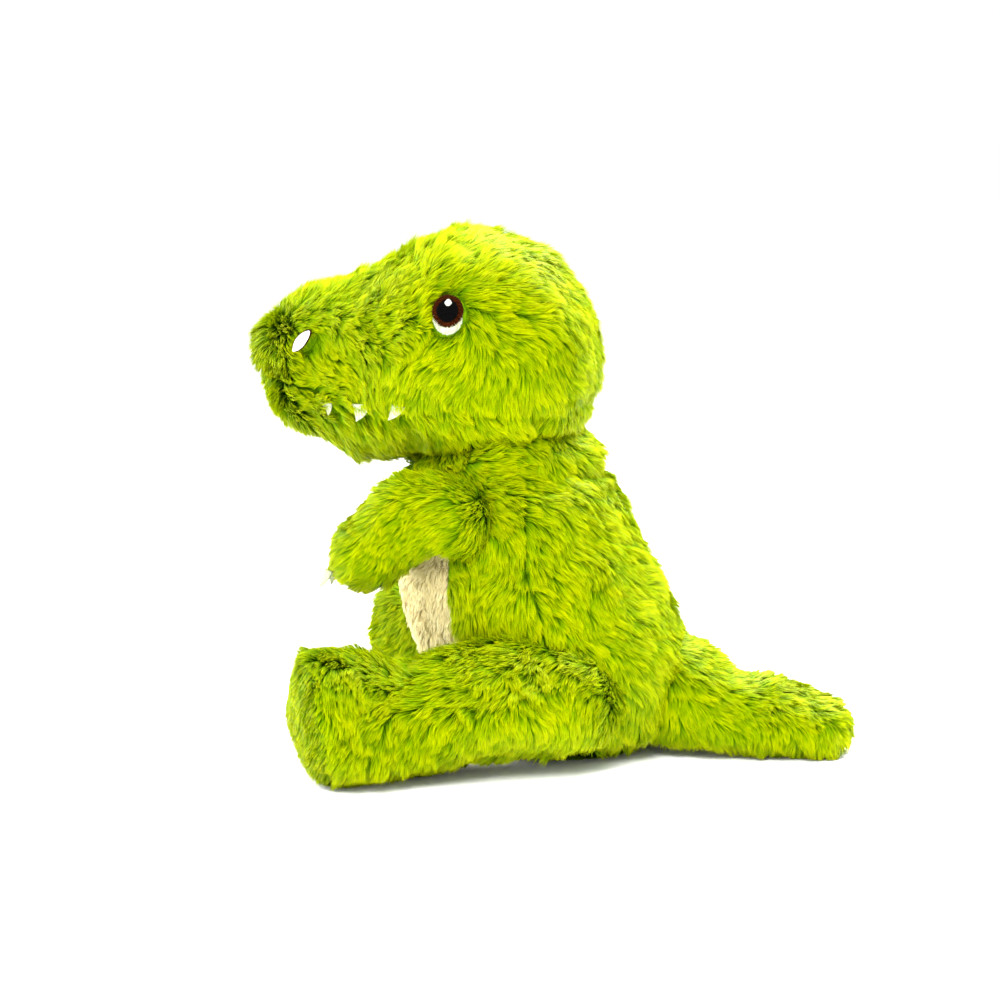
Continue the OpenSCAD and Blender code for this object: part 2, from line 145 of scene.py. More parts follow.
def skin(s, t, a, deep):
    """Points of a shape's surface: t in rings, a in degrees from the top, deep below the surface."""
    t, a = np.broadcast_arrays(np.asarray(t, float), np.radians(np.asarray(a, float)))
    r, g = between(s["k"], t), 1 - deep / s["half"]
    k = s["k"]
    mid, half = (k[0, 0] + k[-1, 0]) / 2, abs(k[-1, 0] - k[0, 0]) / 2
    ca, sa = np.cos(a), np.sin(a)
    h = np.where(ca > 0, r[..., 3], r[..., 4]) * g * np.sign(ca) * np.abs(ca) ** s["e"]
    u = mid + (r[..., 0] - mid) * (1 - deep / half)
    v = r[..., 2] * g * np.sign(sa) * np.abs(sa) ** s["e"]
    return s["o"] + u[..., None] * s["u"] + v[..., None] * s["v"] + (r[..., 1] + h)[..., None] * s["w"]


def unit(v):
    return v / np.maximum(np.linalg.norm(v, axis=-1, keepdims=True), 1e-9)


# ---------- Meshes ----------

def make_mesh(name, verts, loops, starts):
    """Smooth mesh from millimetre points, a flat list of corners and where each face starts in it."""
    me = bpy.data.meshes.new(name)
    verts, loops, starts = np.asarray(verts), np.asarray(loops), np.asarray(starts)
    me.vertices.add(len(verts))
    me.vertices.foreach_set("co", (verts * MM).astype(np.float32).ravel())
    me.loops.add(len(loops))
    me.loops.foreach_set("vertex_index", loops.astype(np.int32))
    me.polygons.add(len(starts))
    me.polygons.foreach_set("loop_start", starts.astype(np.int32))
    me.update(calc_edges=True)
    me.polygons.foreach_set("use_smooth", np.ones(len(starts), bool))
    return me


def quads_mesh(name, verts, quads):
    quads = np.asarray(quads)
    return make_mesh(name, verts, quads.ravel(), np.arange(len(quads)) * 4)


def add_object(me, name):
    o = bpy.data.objects.new(name, me)
    COLLECTION.objects.link(o)
    return o


def show(o, material, body, replaced=()):
    o.data.materials.clear()
    o.data.materials.append(material)
    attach(o, body)
    if replaced:
        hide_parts(*replaced)
    return o


def grid_normals(P):
    """Outward normals of a grid of points that is closed in its second direction."""
    du = np.gradient(P, axis=0)
    dv = (np.roll(P, -1, 1) - np.roll(P, 1, 1)) / 2
    n = unit(np.cross(dv, du))
    middle = P.mean(1, keepdims=True)
    flip = ((P - middle) * n).sum(-1).mean() < 0
    return -n if flip else n


def grid_faces(nt, na):
    """Quads of a grid of nt rows of na points that is closed in its second direction."""
    i, j = np.meshgrid(np.arange(nt - 1), np.arange(na), indexing="ij")
    k, n = i * na + j, i * na + (j + 1) % na
    return np.stack([k, n, n + na, k + na], -1).reshape(-1, 4)


def open_faces(nr, nc):
    """Quads of a grid of nr rows of nc points that is open all round."""
    r, c = np.meshgrid(np.arange(nr - 1), np.arange(nc - 1), indexing="ij")
    k = (r * nc + c).ravel()
    return np.stack([k, k + nc, k + nc + 1, k + 1], 1)


def wrapped(M):
    return np.concatenate([M, M[:, :1]], 1)


def at_share(W, i, j, f, g):
    """Values at the shares f and g of the cells i, j of a wrapped grid."""
    return (W[i, j] * (1 - f) * (1 - g) + W[i + 1, j] * f * (1 - g)
            + W[i, j + 1] * (1 - f) * g + W[i + 1, j + 1] * f * g)


def cells(sk):
    """Area of each cell of a skin, and the angle at its middle."""
    P = wrapped(sk["P"])
    e1, e2 = P[1:, :-1] - P[:-1, :-1], P[:-1, 1:] - P[:-1, :-1]
    return np.linalg.norm(np.cross(e1, e2), axis=-1), (np.arange(sk["na"]) + 0.5) * 360 / sk["na"]


def quads_object(name, verts, quads):
    return add_object(quads_mesh(name, verts, quads), name)


def closed_object(name, P):
    """An object from a grid of points, with a face over its first and its last row."""
    nt, na = P.shape[:2]
    quads = grid_faces(nt, na)
    loops = np.concatenate([quads.ravel(), np.arange(na)[::-1], (nt - 1) * na + np.arange(na)])
    starts = np.concatenate([np.arange(len(quads)) * 4, [len(quads) * 4, len(quads) * 4 + na]])
    return add_object(make_mesh(name, P.reshape(-1, 3), loops, starts), name)


# ---------- Cloth: each stuffed body is inflated between its seams ----------
CLOTH_FRAMES = 20


def inflate(name, P, pinned, cap=1.6):
    """Cloth pressure on a closed grid. The pinned points hold still, as seams do."""
    o = closed_object(name + "_sim", P)
    me = o.data
    hold = o.vertex_groups.new(name="hold")
    weight = pinned.ravel()
    for w in np.unique(weight):
        if w > 0:
            hold.add([int(x) for x in np.nonzero(weight == w)[0]], float(w), "REPLACE")
    m = o.modifiers.new("Cloth", "CLOTH")
    c = m.settings
    c.quality, c.mass, c.time_scale = 5, 0.25, 1.0
    c.tension_stiffness = c.compression_stiffness = 18
    c.shear_stiffness, c.bending_stiffness = 8, 0.4
    c.vertex_group_mass, c.pin_stiffness = "hold", 4
    c.use_pressure, c.uniform_pressure_force = True, 4
    c.shrink_min = -0.02
    c.effector_weights.gravity = 0
    m.collision_settings.use_collision = False
    m.point_cache.frame_start, m.point_cache.frame_end = 1, CLOTH_FRAMES
    for f in range(1, CLOTH_FRAMES + 1):
        SCENE.frame_set(f)
    deps = bpy.context.evaluated_depsgraph_get()
    got = o.evaluated_get(deps).to_mesh()
    co = np.zeros(P.size, np.float32)
    got.vertices.foreach_get("co", co)
    o.evaluated_get(deps).to_mesh_clear()
    SCENE.frame_set(1)
    bpy.data.objects.remove(o)
    bpy.data.meshes.remove(me)
    move = co.reshape(P.shape).astype(float) / MM - P
    size = np.linalg.norm(move, axis=-1, keepdims=True)
    return P + move * np.minimum(1, cap / np.maximum(size, 1e-6))


def band(x, low, high, soft):
    """1 between two values, fading to 0 outside them."""
    return np.clip((x - low) / soft + 1, 0, 1) * np.clip((high - x) / soft + 1, 0, 1)


def swell(shape_name, P, N):
    """Small fullness on top of the CAD outline, in millimetres."""
    y, z = P[..., 1], P[..., 2]
    ways = (N[..., 2], -N[..., 2], -N[..., 1], N[..., 1])
    top, under, front, rear = (np.clip(q, 0, 1) for q in ways)
    out, slide = np.zeros(y.shape), np.zeros(P.shape)
    if shape_name == "head":
        low = np.clip(under - 0.25, 0, 0.6) / 0.6
        out += 2.4 * low * band(y, -200, -77, 15) + 3.4 * low * band(y, -120, -100, 16)
        out -= 2.0 * np.clip(top - 0.3, 0, 0.6) / 0.6 * band(y, -104, -62, 14)
        out -= 4.6 * under ** 0.5 * band(y, -200, -130, 9)
        out -= 1.6 * rear * band(z, 140, 162, 10)
    if shape_name == "torso":
        out += 15 * front ** 1.5 * band(z, 114, 130, 12)
        out += 1.2 * rear * band(z, 62, 84, 14) + 3.0 * rear * band(z, 40, 50, 9)
        out -= 1.0 * rear * band(z, 140, 150, 6) + 1.5 * under * band(z, 0, 10, 6)
    if shape_name == "leg":
        out += 6.2 * top * band(y, -88, -66, 18)
        out -= 5.4 * np.clip(under - 0.4, 0, 0.6) / 0.6 * band(y, -26, 40, 18)
        place = (P - SHAPES["leg"]["o"]) @ SHAPES["leg"]["u"]
        push = 5.5 * np.clip((place - 84) / 26, 0, 1) * np.clip((z - 12) / 26, -0.2, 1)
        slide = push[..., None] * SHAPES["leg"]["u"]
    if shape_name == "arm":
        place = (P - SHAPES["arm"]["o"]) @ SHAPES["arm"]["u"]
        slide[..., 2] = 3.4 * np.clip((place + 6) / 20, 0, 1)
        out -= 3.0 * under * band(place, 8, 26, 12)
        out += 1.6 * top * band(place, -2, 26, 10) + 0.9 * band(place, 40, 80, 16)
    if shape_name == "tail":
        out += 0.6 * under + 1.4 * top * band(y, 40, 66, 8) + 1.0 * top * band(y, 104, 140, 10)
        out -= 0.8 * top * band(y, 76, 92, 8)
    return N * out[..., None] + slide


# Seams that the cloth is pinned at, points of each grid, and rings inside a joint that hold still
SEAM_ANGLES = {"torso": (0, 120, 240), "head": (24, 116, 244, 336), "arm": (0, 180), "leg": (0, 180),
               "tail": (0, 140, 220)}
JAW_SEAMS = (116, 244)
GRID = {"torso": (60, 120), "head": (84, 120), "arm": (40, 64), "leg": (60, 84), "tail": (56, 76)}
ROOT_RINGS = {"torso": 0, "head": 0, "arm": 3, "leg": 3, "tail": 3}
SEAM_HOLD = 0.9
SKINS = {}
for shape_name, s in SHAPES.items():
    nt, na = GRID[shape_name]
    tt = np.linspace(0, len(s["k"]) - 1, nt)
    aa = np.arange(na) * 360 / na
    T, A = np.meshgrid(tt, aa, indexing="ij")
    P = skin(s, T, A, DEEP[shape_name] + 0.4)
    P = P + swell(shape_name, P, grid_normals(P))
    pin = np.zeros((nt, na))
    for seam_a in SEAM_ANGLES[shape_name]:
        gap = np.abs((A - seam_a + 180) % 360 - 180)
        pin = np.maximum(pin, np.where(gap <= 180 / na + 0.01, SEAM_HOLD, 0))
    pin[:2], pin[-2:] = 1, 1
    pin = np.where(T <= ROOT_RINGS[shape_name], 1, pin)
    P = inflate(shape_name, P, pin)
    SKINS[shape_name] = dict(P=P, N=grid_normals(P), T=tt, na=na)


def mirrored(sk):
    return dict(P=sk["P"] * FLIP, N=sk["N"] * FLIP, T=sk["T"], na=sk["na"])


BODY_SKINS = {"torso": SKINS["torso"], "head": SKINS["head"], "tail": SKINS["tail"],
              "arm_left": SKINS["arm"], "arm_right": mirrored(SKINS["arm"]),
              "leg_left": SKINS["leg"], "leg_right": mirrored(SKINS["leg"])}


def tree_of(sk):
    P = sk["P"]
    nt, na = P.shape[:2]
    faces = [list(map(int, q)) for q in grid_faces(nt, na)]
    faces.append(list(range(na)))
    faces.append([(nt - 1) * na + j for j in range(na)])
    return BVHTree.FromPolygons([Vector(p) for p in P.reshape(-1, 3)], faces)


TREES = {b: tree_of(sk) for b, sk in BODY_SKINS.items()}
CENTRES = {b: sk["P"].reshape(-1, 3).mean(0) for b, sk in BODY_SKINS.items()}
REACH = {b: np.linalg.norm(sk["P"].reshape(-1, 3) - CENTRES[b], axis=1).max()
         for b, sk in BODY_SKINS.items()}


def outside_by(points, body, far=12.0):
    """Distance from points to a body's skin, negative inside it, capped at far."""
    out = np.full(len(points), far)
    near = np.nonzero(np.linalg.norm(points - CENTRES[body], axis=1) < REACH[body] + far)[0]
    tree = TREES[body]
    up = Vector((0.13, 0.21, 0.97)).normalized()
    for i in near:
        p = Vector(points[i])
        at, _, _, dist = tree.find_nearest(p, 60.0)
        if at is None:
            continue
        if dist >= far and not inside(tree, p, up):
            continue
        out[i] = -dist if inside(tree, p, up) else dist
    return out


def inside(tree, p, way):
    hits, start = 0, p
    for _ in range(12):
        at = tree.ray_cast(start, way)[0]
        if at is None:
            break
        hits += 1
        start = at + way * 1e-3
    return hits % 2 == 1


# ---------- Fields ----------

def waves(seed, size, count=7):
    r = np.random.default_rng(seed)
    k = unit(r.normal(size=(count, 3))) * (2 * math.pi / size) * r.uniform(0.6, 1.5, (count, 1))
    return k, r.uniform(0, 2 * math.pi, count)


def noise(P, field):
    k, phase = field
    return np.sin(P @ k.T + phase).sum(-1) / math.sqrt(len(phase) / 2)


# Fields of 42, 15, 26 and 6 mm
SWIRL, TWIST, PATCH, RUFFLE = waves(11, 42), waves(12, 15), waves(13, 26), waves(14, 6)

# Flow of the pile seen from the side: y, z, and the way it lies in y and z
HEAD_FLOW = np.array([
    [-138, 186, 0.3, -0.9], [-140, 172, 0.3, -1], [-110, 208, 1, 0.35], [-85, 222, 1, 0.35],
    [-60, 230, 1, 0.25], [-20, 236, 1, -0.1], [12, 215, 0.5, -1], [20, 190, 0.2, -1],
    [-116, 172, 1, -0.1], [-98, 178, 1, -0.35], [-100, 166, 0.9, 0.3], [-85, 168, 0.3, -0.9],
    [-66, 170, -0.4, -0.9], [-72, 196, 0.8, 0.1], [-50, 215, 0.7, 0.5], [-40, 184, -0.5, -0.85],
    [-20, 200, 0.6, -0.6], [-5, 180, 0.4, -0.9], [-30, 160, 0, -1], [-5, 155, 0.1, -1],
    [-110, 150, 0.8, -0.5], [-90, 142, 0.7, -0.7], [-62, 142, 0.6, -0.8], [10, 165, 0.2, -1]])
TORSO_FLOW = np.array([
    [-20, 132, 0.9, -0.4], [10, 132, 0.8, -0.6], [-40, 118, 0.2, -1], [-10, 112, 0.5, -0.8],
    [20, 110, 0.6, -0.8], [-20, 80, 0, -1], [20, 80, 0.35, -0.95], [40, 60, 0.45, -0.9],
    [0, 40, 0.05, -1], [-50, 60, 0, -1], [45, 25, 0.2, -1]])


def flow(P, table):
    d = (P[:, 1:2] - table[:, 0]) ** 2 + (P[:, 2:3] - table[:, 1]) ** 2
    w = 1 / (d + 60) ** 1.6
    v = (w @ table[:, 2:]) / w.sum(1, keepdims=True)
    return np.stack([np.zeros(len(P)), v[:, 0], v[:, 1]], 1)


def leg_flow(P, N, side):
    u = SHAPES["leg"]["u"] * np.array([side, 1, 1])
    top = np.clip(N[:, 2:3], 0, 1)
    return u * (0.35 + 0.9 * top) + np.array([0, 0.1, -1.0]) * (1 - 0.6 * top)


def arm_flow(P, N, side):
    u = SHAPES["arm"]["u"] * np.array([side, 1, 1])
    return u + np.array([0, 0, -0.25])


def tail_flow(P, N, side):
    top = np.clip(N[:, 2:3], 0, 1)
    return np.array([0, 1.0, 0]) * (0.35 + top) + np.array([0, 0, -1.0]) * (1 - 0.7 * top)


FLOWS = {"torso": lambda P, N, s: flow(P, TORSO_FLOW), "head": lambda P, N, s: flow(P, HEAD_FLOW),
         "leg": leg_flow, "arm": arm_flow, "tail": tail_flow}

# ---------- Fur ----------
# Shares of a strand's length from root to tip
CUTS = np.array([0.0, 0.35, 0.7, 1.0])
# Two kinds of locks: spacing in mm, pull towards the middle strand, share in the tone
LOCKS = ((1.2, 0.5, 0.36), (5.0, 0.26, 0.2))


def sample(sk, count, a0, a1, rng):
    """Roots spread evenly over part of a skin, with their normals, angles and rings."""
    T, step = sk["T"], 360 / sk["na"]
    area, mid = cells(sk)
    area = area * (((mid - a0) % 360) <= (a1 - a0) + step)
    pick = rng.choice(area.size, int(count * 1.12), p=(area / area.sum()).ravel())
    i, j = np.divmod(pick, sk["na"])
    f, g = rng.random(len(pick))[:, None], rng.random(len(pick))[:, None]
    P, N = at_share(wrapped(sk["P"]), i, j, f, g), unit(at_share(wrapped(sk["N"]), i, j, f, g))
    a = (j + g[:, 0]) * step
    t = T[i] * (1 - f[:, 0]) + T[i + 1] * f[:, 0]
    keep = ((a - a0) % 360) <= (a1 - a0)
    return P[keep], N[keep], a[keep], t[keep]


def fur(name, body, a0, a1, count, length, seed, slot, material, clear, keep, width,
        lay=(34, 84), bend=1.0, kind=None):
    """Strands on part of a body, cut short where they would meet the bodies in clear."""
    rng = np.random.default_rng(seed)
    sk = BODY_SKINS[body]
    P, N, a, t = sample(sk, count, a0, a1, rng)
    L = length * rng.uniform(0.75, 1.1, len(P)) * (1 + 0.1 * noise(P, PATCH))
    L *= 1 - 0.5 * np.clip(-N[:, 2] - 0.5, 0, 0.5) / 0.5 * (P[:, 2] < 20)
    alive = np.ones(len(P), bool)
    for other in clear:
        d = outside_by(P, other)
        if body in ("torso", "head"):
            alive &= d > 0.3
            L *= np.clip(0.5 + 0.5 * d / 6, 0.35, 1)
        else:
            alive &= d > -6
            L *= np.clip(0.75 + 0.25 * d / 5, 0.45, 1)
    if keep is not None:
        factor = keep(P, a, t)
        alive &= factor > 0.02
        L *= np.clip(factor, 0, 1)
    P, N, a, t, L = P[alive], N[alive], a[alive], t[alive], L[alive]

    C = FLOWS[kind or body.split("_")[0]](P, N, -1 if body.endswith("right") else 1)
    C = C - (C * N).sum(1, keepdims=True) * N
    C = unit(C + 1e-4)
    messy = 0.35 + 0.65 * np.clip(0.5 + 0.7 * noise(P, PATCH), 0, 1)
    turn = bend * (0.3 * noise(P, SWIRL) + messy * (0.3 * noise(P, TWIST) + 0.22 * noise(P, RUFFLE)))
    turn = turn + rng.normal(0, 0.12, len(P))
    C = C * np.cos(turn)[:, None] + np.cross(N, C) * np.sin(turn)[:, None]

    # Each strand leans over more towards its tip, and stands up at the snout's tip
    low, high = np.radians(lay[0]), np.radians(lay[1])
    lean = rng.normal(0, 0.1, len(P)) - messy * 0.1 * (1 + noise(P, RUFFLE))
    if body == "head":
        lean -= 0.36 * np.clip((-112 - P[:, 1]) / 14, 0, 1)
    line = np.zeros((len(P), 4, 3))
    line[:, 0] = P
    for q, step in enumerate((0.35, 0.35, 0.3)):
        ang = np.clip(low + (high - low) * (CUTS[q] + CUTS[q + 1]) / 2 + lean, 0.1, 1.45)
        way = N * np.cos(ang)[:, None] + C * np.sin(ang)[:, None]
        line[:, q + 1] = line[:, q] + way * (L * step)[:, None]

    # Strands gather into locks, first thin and then broad
    tone = 0.22 + 0.13 * noise(P, TWIST) + 0.09 * noise(P, RUFFLE)
    for spacing, pull, share in LOCKS:
        n = max(4, int(len(P) * 0.9 / (max(count, 1)) * surface_of(sk, a0, a1) / spacing ** 2))
        seeds = rng.choice(len(P), min(n, len(P)), replace=False)
        tree = KDTree(len(seeds))
        for q, i in enumerate(seeds):
            tree.insert(P[i], q)
        tree.balance()
        nearest = np.fromiter((tree.find(p)[1] for p in P), int, len(P))
        mine = seeds[nearest]
        colour = rng.random(len(seeds))
        tone += share * colour[nearest]
        rel = line[mine] - P[mine][:, None]
        target = P[mine][:, None] + rel * (L / L[mine])[:, None, None]
        s = np.array([0, 0.25, 0.7, 1.0])[None, :, None] * pull
        line = line + (target - line) * s

    line[:, :, 2] = np.maximum(line[:, :, 2], 0.25 + 0.3 * (1 - CUTS)[None, :] + 0.02)

    # Ribbons: three pairs of points and a tip
    way = unit(np.gradient(line, axis=1))
    across = unit(np.cross(way, N[:, None] + 0.001))
    up = np.cross(across, way)
    roll = rng.normal(0, 0.55, len(P))[:, None, None]
    across = across * np.cos(roll) + up * np.sin(roll)
    taper = np.array([1.0, 0.92, 0.6])[None, :, None]
    half = width / 2 * taper * rng.uniform(0.7, 1.25, (len(P), 1, 1))
    left, right = line[:, :3] - across[:, :3] * half, line[:, :3] + across[:, :3] * half
    verts = np.concatenate([np.stack([left, right], 2).reshape(len(P), 6, 3), line[:, 3:4]], 1)
    verts[:, :, 2] = np.maximum(verts[:, :, 2], PILE_LOW)
    base = (np.arange(len(P)) * 7)[:, None]
    loops = (base + np.array([0, 1, 3, 2, 2, 3, 5, 4, 4, 5, 6])).ravel()
    starts = ((np.arange(len(P)) * 11)[:, None] + np.array([0, 4, 8])).ravel()
    me = make_mesh(name, verts.reshape(-1, 3), loops, starts)

    # Normals for shading lie between the body's, the ribbon's and the strand's direction
    flat = np.cross(across, way)
    flat *= np.sign((flat * N[:, None]).sum(-1, keepdims=True) + 1e-9)
    shade = unit(0.7 * N[:, None] + 0.45 * flat + 0.2 * way)
    normals = np.concatenate([np.repeat(shade[:, :3], 2, 1), shade[:, 3:4]], 1).reshape(-1, 3)
    me.normals_split_custom_set_from_vertices(normals.astype(np.float32))
    data = np.ones((len(P), 7, 4), np.float32)
    data[:, :, 0] = np.append(np.repeat(CUTS[:3], 2), CUTS[3])
    data[:, :, 1] = tone[:, None]
    data[:, :, 2] = rng.random(len(P))[:, None]
    attribute = me.attributes.new("pile", "FLOAT_COLOR", "POINT")
    attribute.data.foreach_set("color", data.ravel())
    show(add_object(me, name), material, body)


AREAS = {}


def surface_of(sk, a0, a1):
    key = (id(sk), a0, a1)
    if key not in AREAS:
        area, mid = cells(sk)
        AREAS[key] = (area * (((mid - a0) % 360) <= (a1 - a0))).sum()
    return AREAS[key]


# ---------- Materials ----------

def srgb(colour):
    """Linear light of a colour from 0 to 255."""
    return tuple(((c / 255 + 0.055) / 1.055) ** 2.4 if c > 10 else c / 255 / 12.92 for c in colour) + (1,)


def node_material(name):
    m = bpy.data.materials.new(name)
    m.use_nodes = True
    nt = m.node_tree
    return m, nt, nt.nodes["Principled BSDF"]


def add(nt, kind, links=(), **values):
    """A node with (input, source) links and the values of other inputs."""
    n = nt.nodes.new("ShaderNode" + kind)
    for key, source in links:
        nt.links.new(source, n.inputs[key])
    fill_in(n, **values)
    return n


def fill_in(n, **values):
    for key, value in values.items():
        n.inputs[key.replace("_", " ")].default_value = value


def multiply_add(nt, source, factor, addend):
    n = add(nt, "Math", [(0, source)])
    n.operation, n.inputs[1].default_value = "MULTIPLY_ADD", factor
    if isinstance(addend, float):
        n.inputs[2].default_value = addend
    else:
        nt.links.new(addend, n.inputs[2])
    return n.outputs[0]


def ramp(nt, stops, source):
    n = add(nt, "ValToRGB", [(0, source)])
    e = n.color_ramp.elements
    while len(e) < len(stops):
        e.new(0.5)
    for k, (p, c) in zip(e, stops):
        k.position, k.color = p, c
    return n.outputs[0]


def fur_material(name, *colours, glow=0.3):
    """Colours from root to tip, shifted by the tone of each lock. The darker, greener root colours are
    painted shade deep in the pile and the lighter, yellower tips are painted highlight, over the pile's own
    colour.
    """
    m, nt, bsdf = node_material(name)
    root, low, mid, tip = map(srgb, colours)
    at = add(nt, "Attribute")
    at.attribute_name = "pile"
    sep = add(nt, "SeparateColor", [(0, at.outputs["Color"])])
    tone = multiply_add(nt, sep.outputs[1], 0.34, -0.17)
    along = add(nt, "Math", [(0, sep.outputs[0]), (1, tone)])
    along.operation = "ADD"
    # Painted shade towards the root and painted highlight towards the tip of each strand
    colour = ramp(nt, [(0.0, root), (0.3, low), (0.62, mid), (1.0, tip)], along.outputs[0])
    shade = add(nt, "MapRange", [(0, sep.outputs[2])])
    shade.inputs[3].default_value, shade.inputs[4].default_value = 0.86, 1.12
    hsv = add(nt, "HueSaturation", [("Value", shade.outputs[0]), ("Color", colour)]).outputs[0]
    nt.links.new(hsv, bsdf.inputs["Base Color"])
    fill_in(bsdf, Base_Color=mid, Roughness=0.5, Specular_IOR_Level=0.22, Specular_Tint=tip)
    through = add(nt, "BsdfTranslucent", [(0, hsv)])
    mix = add(nt, "MixShader", [(1, bsdf.outputs[0]), (2, through.outputs[0])])
    mix.inputs[0].default_value = glow
    nt.links.new(mix.outputs[0], nt.nodes["Material Output"].inputs[0])
    return m


def coords(nt, scale):
    return add(nt, "Mapping", [(0, add(nt, "TexCoord").outputs["Object"])], Scale=(scale,) * 3).outputs[0]


def cloth_material(name, dark, light, weave=900.0, bump=0.4, rough=0.85, sheen=0.3, bands=True,
                   shine=0.25):
    """Woven bands and specks between two colours. The weave is in waves per metre."""
    m, nt, bsdf = node_material(name)
    dark, light = srgb(dark), srgb(light)
    vec = coords(nt, 1.0)
    wave = add(nt, "TexWave", [("Vector", vec)], Scale=weave / 3, Distortion=2.0, Detail=2.0)
    speck = add(nt, "TexNoise", [("Vector", vec)], Scale=weave, Detail=4.0)
    mix = multiply_add(nt, wave.outputs["Fac"], 0.5 if bands else 0.0, speck.outputs["Fac"])
    nt.links.new(ramp(nt, [(0.35, dark), (0.95, light)], mix), bsdf.inputs["Base Color"])
    relief = add(nt, "Bump", [("Height", mix)], Strength=bump, Distance=0.0004)
    nt.links.new(relief.outputs[0], bsdf.inputs["Normal"])
    middle = tuple((a + b) / 2 for a, b in zip(dark, light))
    fill_in(bsdf, Base_Color=middle, Roughness=rough, Specular_IOR_Level=shine, Sheen_Weight=sheen)
    return m


# Pile colours from root to tip: the dark root colours are painted shade in the pile, the light tip colours
# painted highlight, over the pile's own green or cream
GREEN_FUR = fur_material("green_pile", (62, 106, 0), (90, 135, 0), (129, 160, 0), (185, 192, 0))
CREAM_FUR = fur_material("cream_pile", (182, 162, 108), (212, 194, 136), (230, 216, 160), (242, 232, 186),
                         glow=0.25)
GREEN_CLOTH = cloth_material("green_backing", (76, 116, 0), (108, 146, 0), sheen=0.0, shine=0.05)
CREAM_CLOTH = cloth_material("cream_backing", (150, 138, 96), (190, 180, 136), sheen=0.0, shine=0.05)
FILLING = cloth_material("polyester_filling", (214, 214, 210), (250, 250, 248), 260, 0.6, 0.95, 0.5, False)
BAG_CLOTH = cloth_material("bag_cloth", (190, 190, 182), (232, 232, 226), 1500)
PELLET = cloth_material("pellet_plastic", (196, 206, 212), (222, 230, 234), 400, 0.1, 0.4, 0.0, False)
EYE_WHITE = cloth_material("cream_stitches", (136, 140, 112), (186, 190, 162), 2600, 0.9, 0.7, 0, shine=0.1)
BROWN = cloth_material("brown_stitches", (22, 7, 0), (54, 20, 2), 2600, 0.9, 0.7, 0, shine=0.02)
BLACK = cloth_material("black_stitches", (0, 0, 0), (5, 5, 5), 2600, 0.8, 0.8, 0, shine=0.03)
SHINE = cloth_material("white_stitches", (150, 154, 138), (200, 204, 190), 2600, 0.8, 0.6, 0, shine=0.1)
PATCH_WHITE = cloth_material("pale_patch", (240, 240, 238), (255, 255, 255), 1800, 0.3, 0.6, 0.1)
TOOTH = cloth_material("tooth_weave", (132, 140, 104), (184, 190, 156), 2200, 0.9, 0.8, 0, shine=0.06)
THREAD = cloth_material("green_thread", (90, 130, 0), (160, 196, 10), 3000, 0.8, 0.6, 0.2)

# ---------- Backing panels ----------
CLOTH_THICK, SEAM_GAP, CLOTH_FILL = 0.0009, 0.3, 0.85


def clear_of(pts, bodies):
    """Points that are not inside the bodies by more than 0.6 mm."""
    keep = np.ones(len(pts), bool)
    for other in bodies:
        keep &= outside_by(pts, other, 6.0) > -0.6
    return keep


def panel(name, body, a0, a1, material, replaced, clear=(), t0=0.0, t1=99.0, cut=None):
    """The backing cloth of one sewn panel, with a small gap at each seam."""
    P, T, na = (BODY_SKINS[body][key] for key in ("P", "T", "na"))
    span, step = a1 - a0, 360 / na
    fine = np.linspace(a0 + SEAM_GAP, a1 - SEAM_GAP, max(4, int(span / step * 1.4)))
    rows = np.linspace(max(T[0], t0), min(T[-1], t1), int(len(T) * 1.4))
    fi = np.clip(rows / T[-1] * (len(T) - 1), 0, len(T) - 1.001)
    fj = (fine % 360) / step
    i, j = fi.astype(int), np.minimum(fj.astype(int), na - 1)
    f, g = (fi - i)[:, None, None], (fj - j)[None, :, None]
    pts = at_share(wrapped(P), i[:, None], j[None], f, g).reshape(-1, 3)
    keep = clear_of(pts, clear)
    if cut is not None:
        keep &= cut(pts)
    quads = open_faces(len(i), len(j))
    quads = quads[keep[quads].all(1)]
    used, inverse = np.unique(quads, return_inverse=True)
    verts = pts[used]
    verts[:, 2] = np.maximum(verts[:, 2], CLOTH_LOW)
    o = quads_object(name, verts, inverse.reshape(-1, 4))
    thick = o.modifiers.new("thickness", "SOLIDIFY")
    thick.thickness, thick.offset = CLOTH_THICK, -1
    bpy.context.view_layer.objects.active = o
    with bpy.context.temp_override(object=o, active_object=o):
        bpy.ops.object.modifier_apply(modifier="thickness")
    show(o, material, body, replaced)


def neck_cut(pts):
    return np.linalg.norm(pts - NECK, axis=1) > NECK_R - 1.0


def neck_keep(P):
    """No pile inside the neck's ball, and shorter pile close to it."""
    gap = np.linalg.norm(P - NECK, axis=1) - NECK_R
    return np.where(gap > -1.5, np.clip(0.6 + gap / 8, 0.5, 1), 0)


LIMBS = ("arm_left", "arm_right", "leg_left", "leg_right", "tail")


def trim_frame(t, a, side, roll=0.0):
    """Centre, across, up and out for trim that stands on the head, as in the CAD part."""
    s = SHAPES["head"]
    p = skin(s, t, a, 0)
    along = skin(s, t + 0.05, a, 0) - skin(s, t - 0.05, a, 0)
    out = unit(np.cross(along, skin(s, t, a + 2, 0) - skin(s, t, a - 2, 0)))
    across = unit(np.cross([0, 0, 1.0], out))
    up = np.cross(out, across)
    c, q = math.cos(math.radians(roll)), math.sin(math.radians(roll))
    across, up = across * c + up * q, up * c - across * q
    flip = np.array([side, 1, 1])
    return p * flip, across * flip, up * flip, out * flip


# Ring and angle of the eyes and nostrils, and how far the nostrils slant
EYE, NOSTRIL, SLANT = (5.0, 76), (9.24, 80), 48
# Place and angle of each tooth, and its outline: upper corners, tip, and the pull of its two edges
TEETH = {
    "front": (8.62, 117, (-3.2, 0.0), (3.2, 0.2), (1.6, -5.0), (-0.6, -2.6), (3.2, -3.0)),
    "middle": (7.61, 110, (-4.5, -0.2), (4.5, 0.4), (-2.2, -7.6), (-3.0, -3.8), (3.6, -5.4)),
    "rear": (6.46, 113, (-3.4, 0.5), (3.8, -0.6), (-4.8, -6.6), (-3.6, -3.0), (1.2, -5.2)),
}


